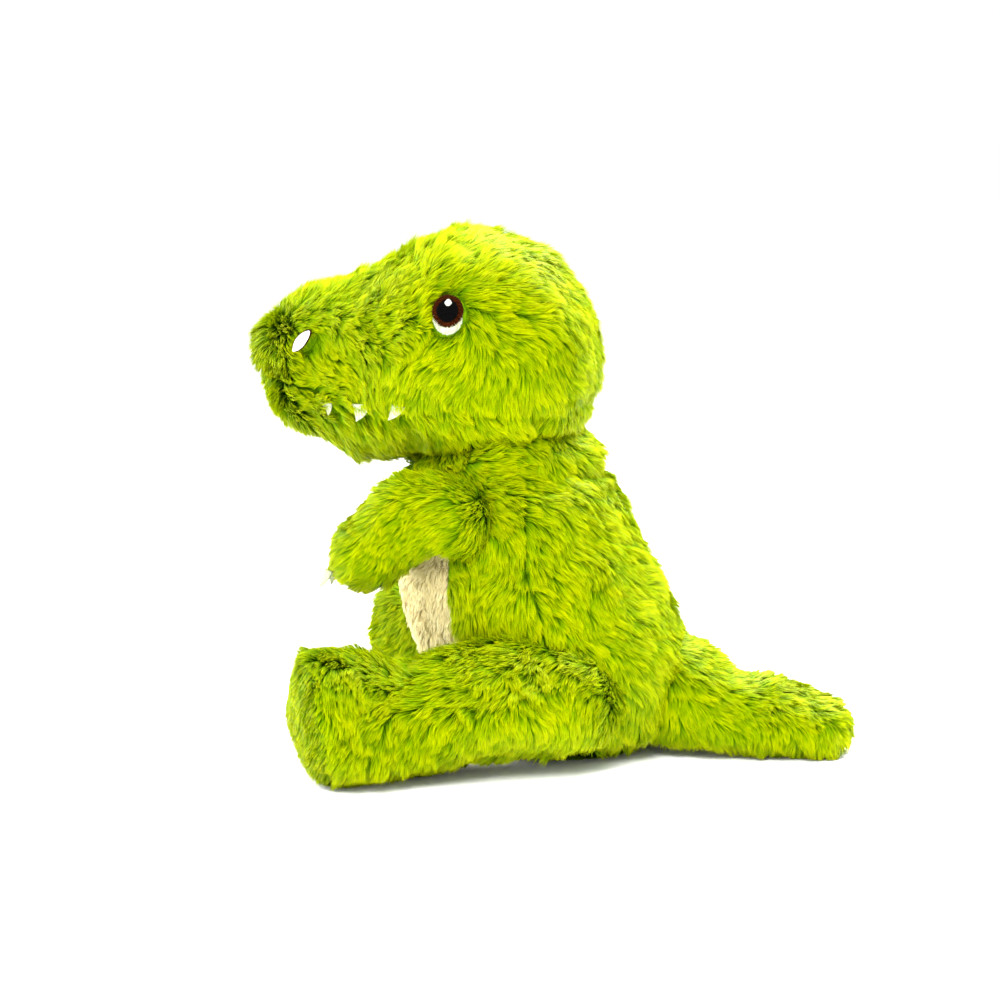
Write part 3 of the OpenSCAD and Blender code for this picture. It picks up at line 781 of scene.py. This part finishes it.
def head_clip(P):
    """Clips the pile under the eyes, nostrils and teeth."""
    keep = neck_keep(P)

    def clip(keep, frame, dx, dy, wide, high, edge, soft):
        c, x, y, n = frame
        d = P - c - x * dx - y * dy
        r = np.sqrt(((d @ x) / wide) ** 2 + ((d @ y) / high) ** 2)
        share = np.clip((r - edge) / soft, 0, 1) ** 0.5
        return np.where(np.abs(d @ n) < 11, keep * share, keep)

    for side in (1, -1):
        keep = clip(keep, trim_frame(*EYE, side), -1.5, 0.2, 8.7, 9.7, 0.95, 0.4)
        keep = clip(keep, trim_frame(*NOSTRIL, side, SLANT), 0, 0, 6.6, 3.0, 0.92, 0.45)
        for t0, a0, *corners in TEETH.values():
            middle = (corners[0][0] + corners[1][0] + corners[2][0]) / 3
            keep = clip(keep, trim_frame(t0, a0, side), middle, -4.4, 3.8, 3.4, 0.75, 0.5)
    return keep


# ---------- The sewn panels and their pile ----------
PANELS = [
    # name, body, first and last angle, strands per mm2, pile length
    ("torso_left_panel", "torso", 0, 120, 5.0, 10),
    ("torso_right_panel", "torso", 240, 360, 5.0, 10),
    ("torso_left_throat", "torso", 120, 180, 5.0, 8),
    ("torso_right_throat", "torso", 180, 240, 5.0, 8),
    ("belly_panel", "torso", 120, 240, 5.0, 5.5),
    ("head_left_panel", "head", 24, 116, 5.4, 10),
    ("head_right_panel", "head", 244, 336, 5.4, 10),
    ("head_top_gusset", "head", 336, 384, 5.4, 9.5),
    ("jaw_panel", "head", 116, 244, 4.8, 9.5),
    ("tail_left_panel", "tail", 220, 360, 5.0, 9.5),
    ("tail_right_panel", "tail", 0, 140, 5.0, 9.5),
    ("tail_base_panel", "tail", 140, 220, 3.4, 4.0),
]
# The body of a right limb is mirrored, so its angles run the same way as the left one's
for side_name, _ in SIDES:
    PANELS += [(f"{limb}_{side_name}_{name}", f"{limb}_{side_name}", *rest) for limb, name, *rest in (
        ("arm", "outer_panel", 0, 180, 5.2, 9), ("arm", "inner_panel", 180, 360, 5.0, 8.5),
        ("leg", "outer_panel", 0, 180, 5.0, 10), ("leg", "inner_panel", 180, 360, 5.0, 9.5))]

# Share of the strands that is drawn, and the most strands in one piece
THIN, MOST = 1.0, 39000
STRAND_WIDTH = 0.42
# The ring of the torso where the pale belly ends, and the seam there
BELLY_TOP, THROAT_SEAM = 6.5, 0.03


def pile(name, body, a0, a1, density, length, seed, slot, look, clear=(), keep=None,
         width=STRAND_WIDTH, **more):
    """The pile of one panel, split into pieces that stay small enough to export whole."""
    total = int(density * THIN * surface_of(BODY_SKINS[body], a0, a1))
    pieces = max(1, math.ceil(total / MOST))
    for q in range(pieces):
        label = name + "_pile" + (f"_{q + 1}" if pieces > 1 else "")
        b0, b1 = a0 + (a1 - a0) * q / pieces, a0 + (a1 - a0) * (q + 1) / pieces
        fur(label, body, b0, b1, total // pieces, length, seed * 10 + q, slot, look, clear, keep,
            width / THIN ** 0.5, **more)


def panel_keep(kind, t0, t1):
    """The share of its length that a panel's pile keeps, and 0 outside the rings t0 to t1."""
    lines = SEAM_ANGLES[kind] if kind != "head" else JAW_SEAMS

    def keep(P, a, t):
        # Beside the seams the pile is shorter, so that they show as soft furrows
        gap = np.min([np.abs((a - x + 180) % 360 - 180) for x in lines], axis=0)
        dip = 0.72 + 0.28 * np.clip(gap / 5, 0, 1)
        share = dip * (head_clip(P) if kind == "head" else 1) * ((t >= t0) & (t <= t1))
        if kind == "torso":
            share = share * (0.6 + 0.4 * np.clip((147 - P[:, 2]) / 8, 0, 1))
        if kind == "leg":
            share = share * (0.62 + 0.38 * np.clip((9 - t) / 0.5, 0, 1))
        return share

    return keep


for number, (name, body, a0, a1, density, length) in enumerate(PANELS):
    cream, throat = name == "belly_panel", "throat" in name
    cloth, look = (CREAM_CLOTH, CREAM_FUR) if cream else (GREEN_CLOTH, GREEN_FUR)
    slot = "cream_plush" if cream else "green_plush"
    clear = {"torso": LIMBS, "head": ()}.get(body, ("torso",))
    t0, t1 = (BELLY_TOP, 99) if throat else (0, BELLY_TOP - THROAT_SEAM) if cream else (0, 99)
    panel(name + "_cloth", body, a0, a1, cloth, () if throat else (name,),
          clear if body == "torso" else (), t0, t1, neck_cut if body == "head" else None)
    pile(name, body, a0, a1, density, length, 100 + number, slot, look, clear,
         panel_keep(body.split("_")[0], t0, t1))


# ---------- Flat panels: the two soles and the seat ----------

FLOWS["sole"] = lambda P, N, side: np.tile(np.array([0.0, 0.0, -1.0]), (len(P), 1))
FLOWS["seat"] = lambda P, N, side: np.tile(np.array([0.0, 1.0, 0.0]), (len(P), 1))


def disc_skin(edge, out, profile):
    """A skin that closes an edge: each row is a share of the edge's size and a height above it."""
    centre = edge.mean(0)
    P = np.array([centre + (edge - centre) * share + out * rise for share, rise in profile])
    N = grid_normals(P)
    tilt = np.clip(np.linspace(0, 1, len(profile)) * 2.2, 0, 1)[:, None, None]
    N = unit(N * (1 - tilt) * np.sign((N * out).sum(-1, keepdims=True) + 1e-9) + out * tilt)
    return dict(P=P, N=N, T=np.arange(len(profile), dtype=float), na=len(edge))


def disc_cloth(name, sk, body, replaced, clear=()):
    pts = sk["P"].reshape(-1, 3).copy()
    quads = grid_faces(len(sk["P"]), sk["na"])
    quads = quads[clear_of(pts, clear)[quads].all(1)]
    pts[:, 2] = np.maximum(pts[:, 2], CLOTH_LOW)
    o = quads_object(name, pts, quads)
    show(o, GREEN_CLOTH, body, (replaced,))


for side_name, sign in SIDES:
    body = f"leg_{side_name}"
    out = SHAPES["leg"]["u"] * np.array([sign, 1, 1])
    whole = BODY_SKINS[body]
    shares = (0.985, 0.95, 0.88, 0.76, 0.6, 0.4, 0.2, 0.02)
    profile = [(1, 0), (1.0, 1.6)] + [(q, 8.6 - 7.0 * q ** 2.6) for q in shares]
    # While its pile is drawn, the sole stands in for the skin of the leg
    BODY_SKINS[body] = disc_skin(whole["P"][-1], out, profile)
    disc_cloth(f"leg_{side_name}_sole_cloth", BODY_SKINS[body], body, f"leg_{side_name}_sole")
    pile(f"leg_{side_name}_sole", body, 0, 360, 6.0, 5.0, 300 + number + sign, "green_plush", GREEN_FUR,
         width=0.36, lay=(30, 76), bend=0.35, kind="sole")
    BODY_SKINS[body] = whole

SEAT_INSET, SEAT_RIM, SEAT_LOW = 8.5, 3.4, 1.4
rim = skin(SHAPES["torso"], 0.2, np.arange(0, 360, 4.0), SEAT_INSET)
rim[:, 2] = SEAT_RIM
shares = (1, 0.94, 0.86, 0.74, 0.6, 0.45, 0.3, 0.15, 0.02)
seat = disc_skin(rim, np.array([0, 0, -1.0]), [(q, 2.2 - 0.6 * q) for q in shares])
seat["P"][..., 2] = np.maximum(seat["P"][..., 2], SEAT_LOW)
disc_cloth("seat_panel_cloth", seat, "torso", "seat_panel", LIMBS)
whole = BODY_SKINS["torso"]
BODY_SKINS["torso"] = seat
pile("seat_panel", "torso", 0, 360, 2.4, 3.2, 350, "green_plush", GREEN_FUR, LIMBS, lay=(70, 88),
     bend=0.8, kind="seat")
BODY_SKINS["torso"] = whole


# ---------- Sewn and embroidered trim ----------

def threads(lines, normals, width, height):
    """Half-round threads along rows of points, as one set of points and faces."""
    lines, normals = np.asarray(lines, float), np.asarray(normals, float)
    n, m = lines.shape[:2]
    way = unit(np.gradient(lines, axis=1))
    side = unit(np.cross(normals, way))
    ends = np.ones(m)
    ends[0] = ends[-1] = 0.45
    w, h = width / 2 * ends[None, :, None], height * ends[None, :, None]
    rows = [lines - side * w, lines - side * w * 0.6 + normals * h * 0.8, lines + normals * h,
            lines + side * w * 0.6 + normals * h * 0.8, lines + side * w]
    verts = np.stack(rows, 2).reshape(-1, 3)
    i, j, q = np.meshgrid(np.arange(n), np.arange(m - 1), np.arange(4), indexing="ij")
    k = ((i * m + j) * 5 + q).ravel()
    return verts, np.stack([k, k + 5, k + 6, k + 1], 1)


def piece_of(name, parts, material, body, replaced=()):
    verts, quads, base = [], [], 0
    for v, q in parts:
        verts.append(v)
        quads.append(q + base)
        base += len(v)
    show(quads_object(name, np.concatenate(verts), np.concatenate(quads)), material, body, replaced)


class Sewn:
    """The curved patch of the head's side that a piece of embroidery lies on."""

    def __init__(self, frame, bulge=46.0):
        self.c, self.x, self.y, self.n = frame
        self.bulge = bulge

    def at(self, u, v, lift):
        u, v = np.asarray(u, float), np.asarray(v, float)
        drop = lift - (u ** 2 + v ** 2) / (2 * self.bulge)
        return self.c + u[..., None] * self.x + v[..., None] * self.y + drop[..., None] * self.n

    def flip(self):
        return np.dot(np.cross(self.x, self.y), self.n) < 0


def ordered(sewn, verts, quads):
    return verts, (quads[:, ::-1] if sewn.flip() else quads)


def patch(sewn, outline, lift, rows=7):
    """A slightly domed pad inside an outline of (u, v) points."""
    outline = np.asarray(outline, float)
    centre = outline.mean(0)
    n = len(outline)
    grid = []
    for q in range(rows):
        share = 1 - q / (rows - 0.97)
        p = centre + (outline - centre) * share
        grid.append(sewn.at(p[:, 0], p[:, 1], lift + 0.35 * (1 - share ** 3)))
    tucked = centre + (outline - centre) * 0.9
    foot = sewn.at(tucked[:, 0], tucked[:, 1], lift - 1.6)
    P = np.array([foot] + grid)
    return ordered(sewn, P.reshape(-1, 3), grid_faces(rows + 1, n)[:, ::-1])


def ellipse(cx, cy, rx, ry, n, rough, rng):
    a = np.linspace(0, 2 * math.pi, n, endpoint=False)
    k = 1 + rng.normal(0, rough, n)
    return np.stack([cx + rx * np.cos(a) * k, cy + ry * np.sin(a) * k], 1)


def radial(sewn, cx, cy, inner, outer, count, lift, width, height, rng, rough):
    """Stitches that run out from a centre between two ellipses, with uneven ends."""
    a = (np.arange(count) + rng.uniform(-0.25, 0.25, count)) / count * 2 * math.pi
    lead = rng.normal(0, 0.012, count)
    s = np.linspace(0, 1, 5)[None, :]
    rx = inner[0] + (outer[0] - inner[0]) * s + rng.normal(0, rough, count)[:, None] * s
    ry = inner[1] + (outer[1] - inner[1]) * s + rng.normal(0, rough, count)[:, None] * s
    turn = a[:, None] + lead[:, None] * s
    u, v = cx + rx * np.cos(turn), cy + ry * np.sin(turn)
    lines = sewn.at(u, v, lift + 0.1 * np.sin(math.pi * s))
    return threads(lines, np.broadcast_to(sewn.n, lines.shape), width, height)


def satin(sewn, cx, cy, rx, ry, pitch, lift, width, height, rng, rough, upright=True):
    """Side by side stitches that fill an ellipse."""
    reach = rx if upright else ry
    places = np.arange(-reach + pitch / 2, reach, pitch)
    half = (ry if upright else rx) * np.sqrt(np.clip(1 - (places / reach) ** 2, 0.02, 1))
    s = np.linspace(-1, 1, 7)[None, :]
    along = s * (half + rng.normal(0, rough, len(places)))[:, None]
    across = np.repeat(places[:, None], 7, 1) + rng.normal(0, pitch * 0.06, (len(places), 1))
    u, v = (cx + across, cy + along) if upright else (cx + along, cy + across)
    lines = sewn.at(u, v, lift + 0.22 * (1 - s ** 2))
    return threads(lines, np.broadcast_to(sewn.n, lines.shape), width, height)


# Half length and half width of a nostril, and the radius its patch is bent to
NOSTRIL_HALF, NOSTRIL_BOW, NOSTRIL_BEND = 6.4, 2.6, 30.0
for side_name, side in SIDES:
    rng = np.random.default_rng(70 + side)
    eye = Sewn(trim_frame(*EYE, side))
    e = f"eye_{side_name}_"
    piece_of(e + "white_stitches", [
        patch(eye, ellipse(0, -1.6, 6.5, 7.3, 96, 0.008, rng), 1.4),
        radial(eye, 0, -1.6, (3.0, 3.4), (6.6, 7.4), 170, 1.8, 0.34, 0.2, rng, 0.16),
    ], EYE_WHITE, "head", (e + "white",))
    piece_of(e + "iris_stitches", [
        patch(eye, ellipse(0, 1.5, 6.9, 7.1, 96, 0.006, rng), 1.8),
        radial(eye, 0, 1.5, (4.3, 4.6), (7.2, 7.4), 190, 2.25, 0.33, 0.24, rng, 0.22),
    ], BROWN, "head", (e + "iris",))
    piece_of(e + "pupil_stitches", [
        patch(eye, ellipse(0, 1.5, 4.7, 5.0, 72, 0.004, rng), 2.4),
        satin(eye, 0, 1.5, 4.9, 5.2, 0.3, 2.65, 0.33, 0.2, rng, 0.12),
    ], BLACK, "head", (e + "pupil",))
    piece_of(e + "highlight_stitches", [
        patch(eye, ellipse(0.3, 5.0, 1.45, 1.25, 40, 0.01, rng), 2.9),
        satin(eye, 0.3, 5.0, 1.65, 1.5, 0.28, 3.1, 0.3, 0.18, rng, 0.07, False),
    ], SHINE, "head", (e + "highlight",))

    nose = Sewn(trim_frame(*NOSTRIL, side, SLANT), NOSTRIL_BEND)
    turn = np.linspace(-1, 1, 49)
    bow = NOSTRIL_BOW * (1 - np.abs(turn) ** 2.0) ** 0.8
    almond = np.concatenate([np.stack([turn * NOSTRIL_HALF, -bow * 0.92], 1),
                             np.stack([turn[::-1] * NOSTRIL_HALF, bow[::-1]], 1)[1:-1]])
    rim_line = np.concatenate([almond, almond[:1]]) * 1.02
    rim_line = rim_line + rng.normal(0, 0.07, rim_line.shape)
    edge_pts = nose.at(rim_line[:, 0], rim_line[:, 1], 1.0)[None]
    places = np.arange(-5.9, 5.95, 0.3)
    half = NOSTRIL_BOW * (1 - np.abs(places / NOSTRIL_HALF) ** 2.0) ** 0.8
    s = np.linspace(-1, 1, 5)[None, :]
    lines = nose.at(np.repeat(places[:, None], 5, 1) + s * 0.25, s * half[:, None], 1.45 + 0.3 * (1 - s ** 2))
    piece_of(f"nostril_{side_name}_patch", [
        patch(nose, almond, 1.2),
        threads(lines, np.broadcast_to(nose.n, lines.shape), 0.33, 0.16),
    ], PATCH_WHITE, "head", (f"nostril_{side_name}",))
    piece_of(f"nostril_{side_name}_edge", [
        threads(edge_pts, np.broadcast_to(nose.n, edge_pts.shape), 0.9, 0.55)],
        BROWN, "head")


def curve(p, q, pull, n):
    s = np.linspace(0, 1, n)[:, None]
    p, q, pull = (np.array(x, float) for x in (p, q, pull))
    return (1 - s) ** 2 * p + 2 * s * (1 - s) * pull + s ** 2 * q


def felt_tooth(name, frame, corners, lift, thick, curl, body, replaced):
    """A pointed piece of stiff woven cloth, domed, with a slight outward curl."""
    left, right, tip, pull_left, pull_right = (np.array(p, float) for p in corners)
    c, x, y, n = frame
    rows, cols = 15, 9
    a, b = curve(left, tip, pull_left, rows), curve(right, tip, pull_right, rows)
    s = np.linspace(0, 1, cols)[None, :, None]
    flat = a[:, None] * (1 - s) + b[:, None] * s
    dome = (1 - (2 * s[..., 0] - 1) ** 4) * np.linspace(1, 0.15, rows)[:, None]
    down = np.linspace(0, 1, rows)[:, None]

    def face(offset):
        rise = lift + offset + curl * down ** 2
        return c + flat[..., 0, None] * x + flat[..., 1, None] * y + rise[..., None] * n

    front, back = face(thick * 0.5 + 0.45 * dome), face(-thick * 0.5 * np.ones_like(dome))
    verts = np.concatenate([front.reshape(-1, 3), back.reshape(-1, 3)])
    faces, m = open_faces(rows, cols), rows * cols
    under = faces[:, ::-1] + m
    ring = np.array([*range(cols), *(r * cols + cols - 1 for r in range(1, rows)),
                     *((rows - 1) * cols + q for q in range(cols - 2, -1, -1)),
                     *(r * cols for r in range(rows - 2, 0, -1))])
    after = np.roll(ring, -1)
    quads = np.concatenate([faces, under, np.stack([ring, after, after + m, ring + m], 1)])
    if np.dot(np.cross(x, y), n) < 0:
        quads = quads[:, ::-1]
    show(quads_object(name, verts, quads), TOOTH, body, replaced)


for side_name, side in SIDES:
    for tooth, (t0, a0, *corners) in TEETH.items():
        felt_tooth(f"tooth_{side_name}_{tooth}_cloth", trim_frame(t0, a0, side), corners, -0.2, 0.8, 2.0,
                   "head", (f"tooth_{side_name}_{tooth}",))

# Claws hang at the front of the hands, each turned a little to its own side
CLAW = ((-2.5, 0.0), (2.5, 0.0), (-1.6, -9.0), (-2.9, -4.4), (2.0, -5.0))
CLAW_Y, CLAW_Z = -93.5, 88.0
for side_name, side in SIDES:
    flip = np.array([side, 1, 1])
    for q, (x0, turn) in enumerate(((55.0, 0.85), (45.5, -0.85))):
        n = unit(np.array([turn, -0.6, 0.0]))
        up = unit(np.array([0.0, 0.3, 1.0]))
        across = unit(np.cross(up, n))
        frame_of = (np.array([x0, CLAW_Y, CLAW_Z]) * flip, across * flip, up * flip, n * flip)
        felt_tooth(f"arm_{side_name}_claw_{q + 1}", frame_of, CLAW, 0.5, 0.9, 1.0, f"arm_{side_name}",
                   (f"arm_{side_name}_claws",) if q == 0 else ())

# ---------- What is inside ----------

def lumpy(name, shape_name, deep, body, side, replaced):
    """The uneven filling of a body, which stays out of the joints' rooms."""
    s = SHAPES[shape_name]
    tt, aa = np.linspace(0, len(s["k"]) - 1, 34), np.arange(44) * 360 / 44
    T, A = np.meshgrid(tt, aa, indexing="ij")
    P = skin(s, T, A, deep)
    N = grid_normals(P)
    P = P - N * (0.5 + 0.5 * noise(P.reshape(-1, 3), RUFFLE).reshape(P.shape[:2])[..., None])
    if body in ("torso", "head"):
        for centre, r in ROOMS[body]:
            m = P - centre
            inward = P.mean(1, keepdims=True) - P
            way = unit(inward)
            along, c = (m * way).sum(-1, keepdims=True), (m * m).sum(-1, keepdims=True) - r * r
            step = np.sqrt(np.maximum(along ** 2 - c, 0)) - along
            step = np.minimum(step, 0.92 * np.linalg.norm(inward, axis=-1, keepdims=True))
            P = np.where(c < 0, P + way * step, P)
    P = P * np.array([side, 1, 1])
    P[..., 2] = np.maximum(P[..., 2], FILLING_LOW)
    o = closed_object(name, P)
    show(o, FILLING, body, replaced)


# Centre and radius of the rooms that the joints need
ROOMS = {
    "torso": [(np.array(HIP), 30), (np.array(HIP) * FLIP, 30), (np.array(SHOULDER), 20),
              (np.array(SHOULDER) * FLIP, 20), (np.array(TAIL_ROOT), 28)],
    "head": [(NECK, NECK_R + 1.2)],
}
lumpy("torso_filling", "torso", 7.0, "torso", 1, ("torso_stuffing",))
lumpy("head_filling", "head", 8.5, "head", 1, ("head_stuffing",))
lumpy("tail_filling", "tail", 6.5, "tail", 1, ("tail_stuffing",))
for side_name, sign in SIDES:
    lumpy(f"arm_{side_name}_filling", "arm", 6.5, f"arm_{side_name}", sign, (f"arm_{side_name}_stuffing",))
    lumpy(f"leg_{side_name}_filling", "leg", 6.8, f"leg_{side_name}", sign, (f"leg_{side_name}_stuffing",))


def pillow(name, centre, size, square=0.45, flat=0.8):
    """A cushion: an ellipsoid squared up by two powers."""
    u, v = np.meshgrid(np.radians(np.linspace(-86, 86, 25)), np.radians(np.arange(0, 360, 7.5)),
                       indexing="ij")

    def power(x, e):
        return np.sign(x) * np.abs(x) ** e

    P = np.stack([power(np.cos(u), square) * power(np.cos(v), square),
                  power(np.cos(u), square) * power(np.sin(v), square), power(np.sin(u), flat)], -1)
    return closed_object(name, P * size / 2 + centre)


lo, hi = (np.array(v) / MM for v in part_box("pellet_bag"))
bag = pillow("pellet_bag_cloth", (lo + hi) / 2, hi - lo)
show(bag, BAG_CLOTH, "torso", ("pellet_bag",))

# Loose balls on a jittered lattice
PELLET_R, PELLET_PITCH = 1.4, 3.1
rng = np.random.default_rng(5)
lo, hi = (np.array(v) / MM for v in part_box("pellets"))
ball = np.array([[math.cos(a) * math.cos(b), math.sin(a) * math.cos(b), math.sin(b)]
                 for b in (-1.1, -0.4, 0.4, 1.1) for a in np.arange(6) * math.pi / 3])
rows = [np.arange(lo[q] + 2.2, hi[q] - 2.0, PELLET_PITCH) for q in range(3)]
spots = np.stack(np.meshgrid(*rows, indexing="ij"), -1).reshape(-1, 3)
spots = spots + rng.normal(0, 0.12, spots.shape)
verts = (spots[:, None] + ball[None] * PELLET_R).reshape(-1, 3)
quads = (grid_faces(4, 6)[None] + (np.arange(len(spots)) * len(ball))[:, None, None]).reshape(-1, 4)
show(quads_object("pellets_loose", verts, quads), PELLET, "torso", ("pellets",))

PLUG_R = 29.5
b, a = np.meshgrid(np.radians(np.linspace(-84, 84, 25)), np.radians(np.arange(0, 360, 9)), indexing="ij")
plug = NECK + PLUG_R * np.stack([np.cos(b) * np.cos(a), np.cos(b) * np.sin(a), np.sin(b)], -1)
lump = noise(plug.reshape(-1, 3), RUFFLE).reshape(b.shape)[..., None]
plug = closed_object("neck_filling", plug + (plug - NECK) / PLUG_R * 0.6 * lump)
show(plug, FILLING, "neck", ("neck_stuffing",))

# Ladder stitches that close the filling gap, up the middle of the back
t = np.arange(6.3, 8.2, 0.15)
zig = np.stack([skin(SHAPES["torso"], t, side, 0.0) for side in (2.6, 0.0, -2.6)], 1)
n = np.broadcast_to(np.array([0, 0.92, 0.38]), zig.shape)
piece_of("closing_seam_thread", [threads(zig + n * 0.4, n, 0.6, 0.4)], THREAD, "torso",
         ("closing_seam",))


# ---------- Camera, light and floor ----------
def stage_material():
    m, nt, bsdf = node_material("studio_floor")
    n = add(nt, "TexNoise", [("Vector", coords(nt, 3.0))], Scale=2.0)
    c = ramp(nt, [(0.0, srgb((252,) * 3)), (1.0, srgb((255,) * 3))], n.outputs["Fac"])
    nt.links.new(c, bsdf.inputs["Base Color"])
    fill_in(bsdf, Roughness=0.9, Specular_IOR_Level=0.1)
    return m


def floor():
    pts = [(-60000, -60000, 0), (9000, -60000, 0), (9000, 60000, 0), (-60000, 60000, 0)]
    o = quads_object("floor", np.array(pts, float), [[0, 1, 2, 3]])
    o.data.materials.append(stage_material())


def area(name, place, size, power):
    d = bpy.data.lights.new(name, "AREA")
    d.shape, d.size, d.size_y, d.energy, d.color = "RECTANGLE", size[0], size[1], power, (1, 1, 1)
    o = bpy.data.objects.new(name, d)
    COLLECTION.objects.link(o)
    o.location = place
    o.rotation_mode = "QUATERNION"
    o.rotation_quaternion = (Vector(AIM) - Vector(place)).to_track_quat("-Z", "Y")


floor()
# The camera stands FAR to the object's left, DELTA behind it and RISE above level
CENTRE, AIM, WORLD_LIGHT = Vector((0.0044, -0.0252, 0.114)), (0, 0, 0.12), 1.03
DELTA, RISE, FAR = math.radians(10), math.radians(8.2), 1.2
cam_data = bpy.data.cameras.new("camera")
cam_data.lens, cam_data.sensor_width = 94, 36
cam = bpy.data.objects.new("camera", cam_data)
COLLECTION.objects.link(cam)
back = Vector((math.cos(RISE) * math.cos(DELTA), math.cos(RISE) * math.sin(DELTA), math.sin(RISE)))
cam.location = CENTRE + back * FAR
cam.rotation_mode = "QUATERNION"
cam.rotation_quaternion = (-back).to_track_quat("-Z", "Y")
cam_data.clip_start, cam_data.clip_end = 0.05, 30
SCENE.camera = cam

area("top_back", (-0.45, 0.4, 1.15), (0.8, 0.8), 66)
area("key", (0.9, 0.1, 1.2), (0.8, 0.7), 24)
area("fill", (1.3, -0.9, 0.45), (1.2, 0.9), 9)
area("front", (0.0, -1.3, 0.8), (1.0, 1.0), 34)
world = bpy.data.worlds.new("studio")
SCENE.world = world
world.use_nodes = True
bg = world.node_tree.nodes["Background"]
bg.inputs[0].default_value, bg.inputs[1].default_value = (1, 1, 1, 1), WORLD_LIGHT
SCENE.view_settings.view_transform = "Standard"
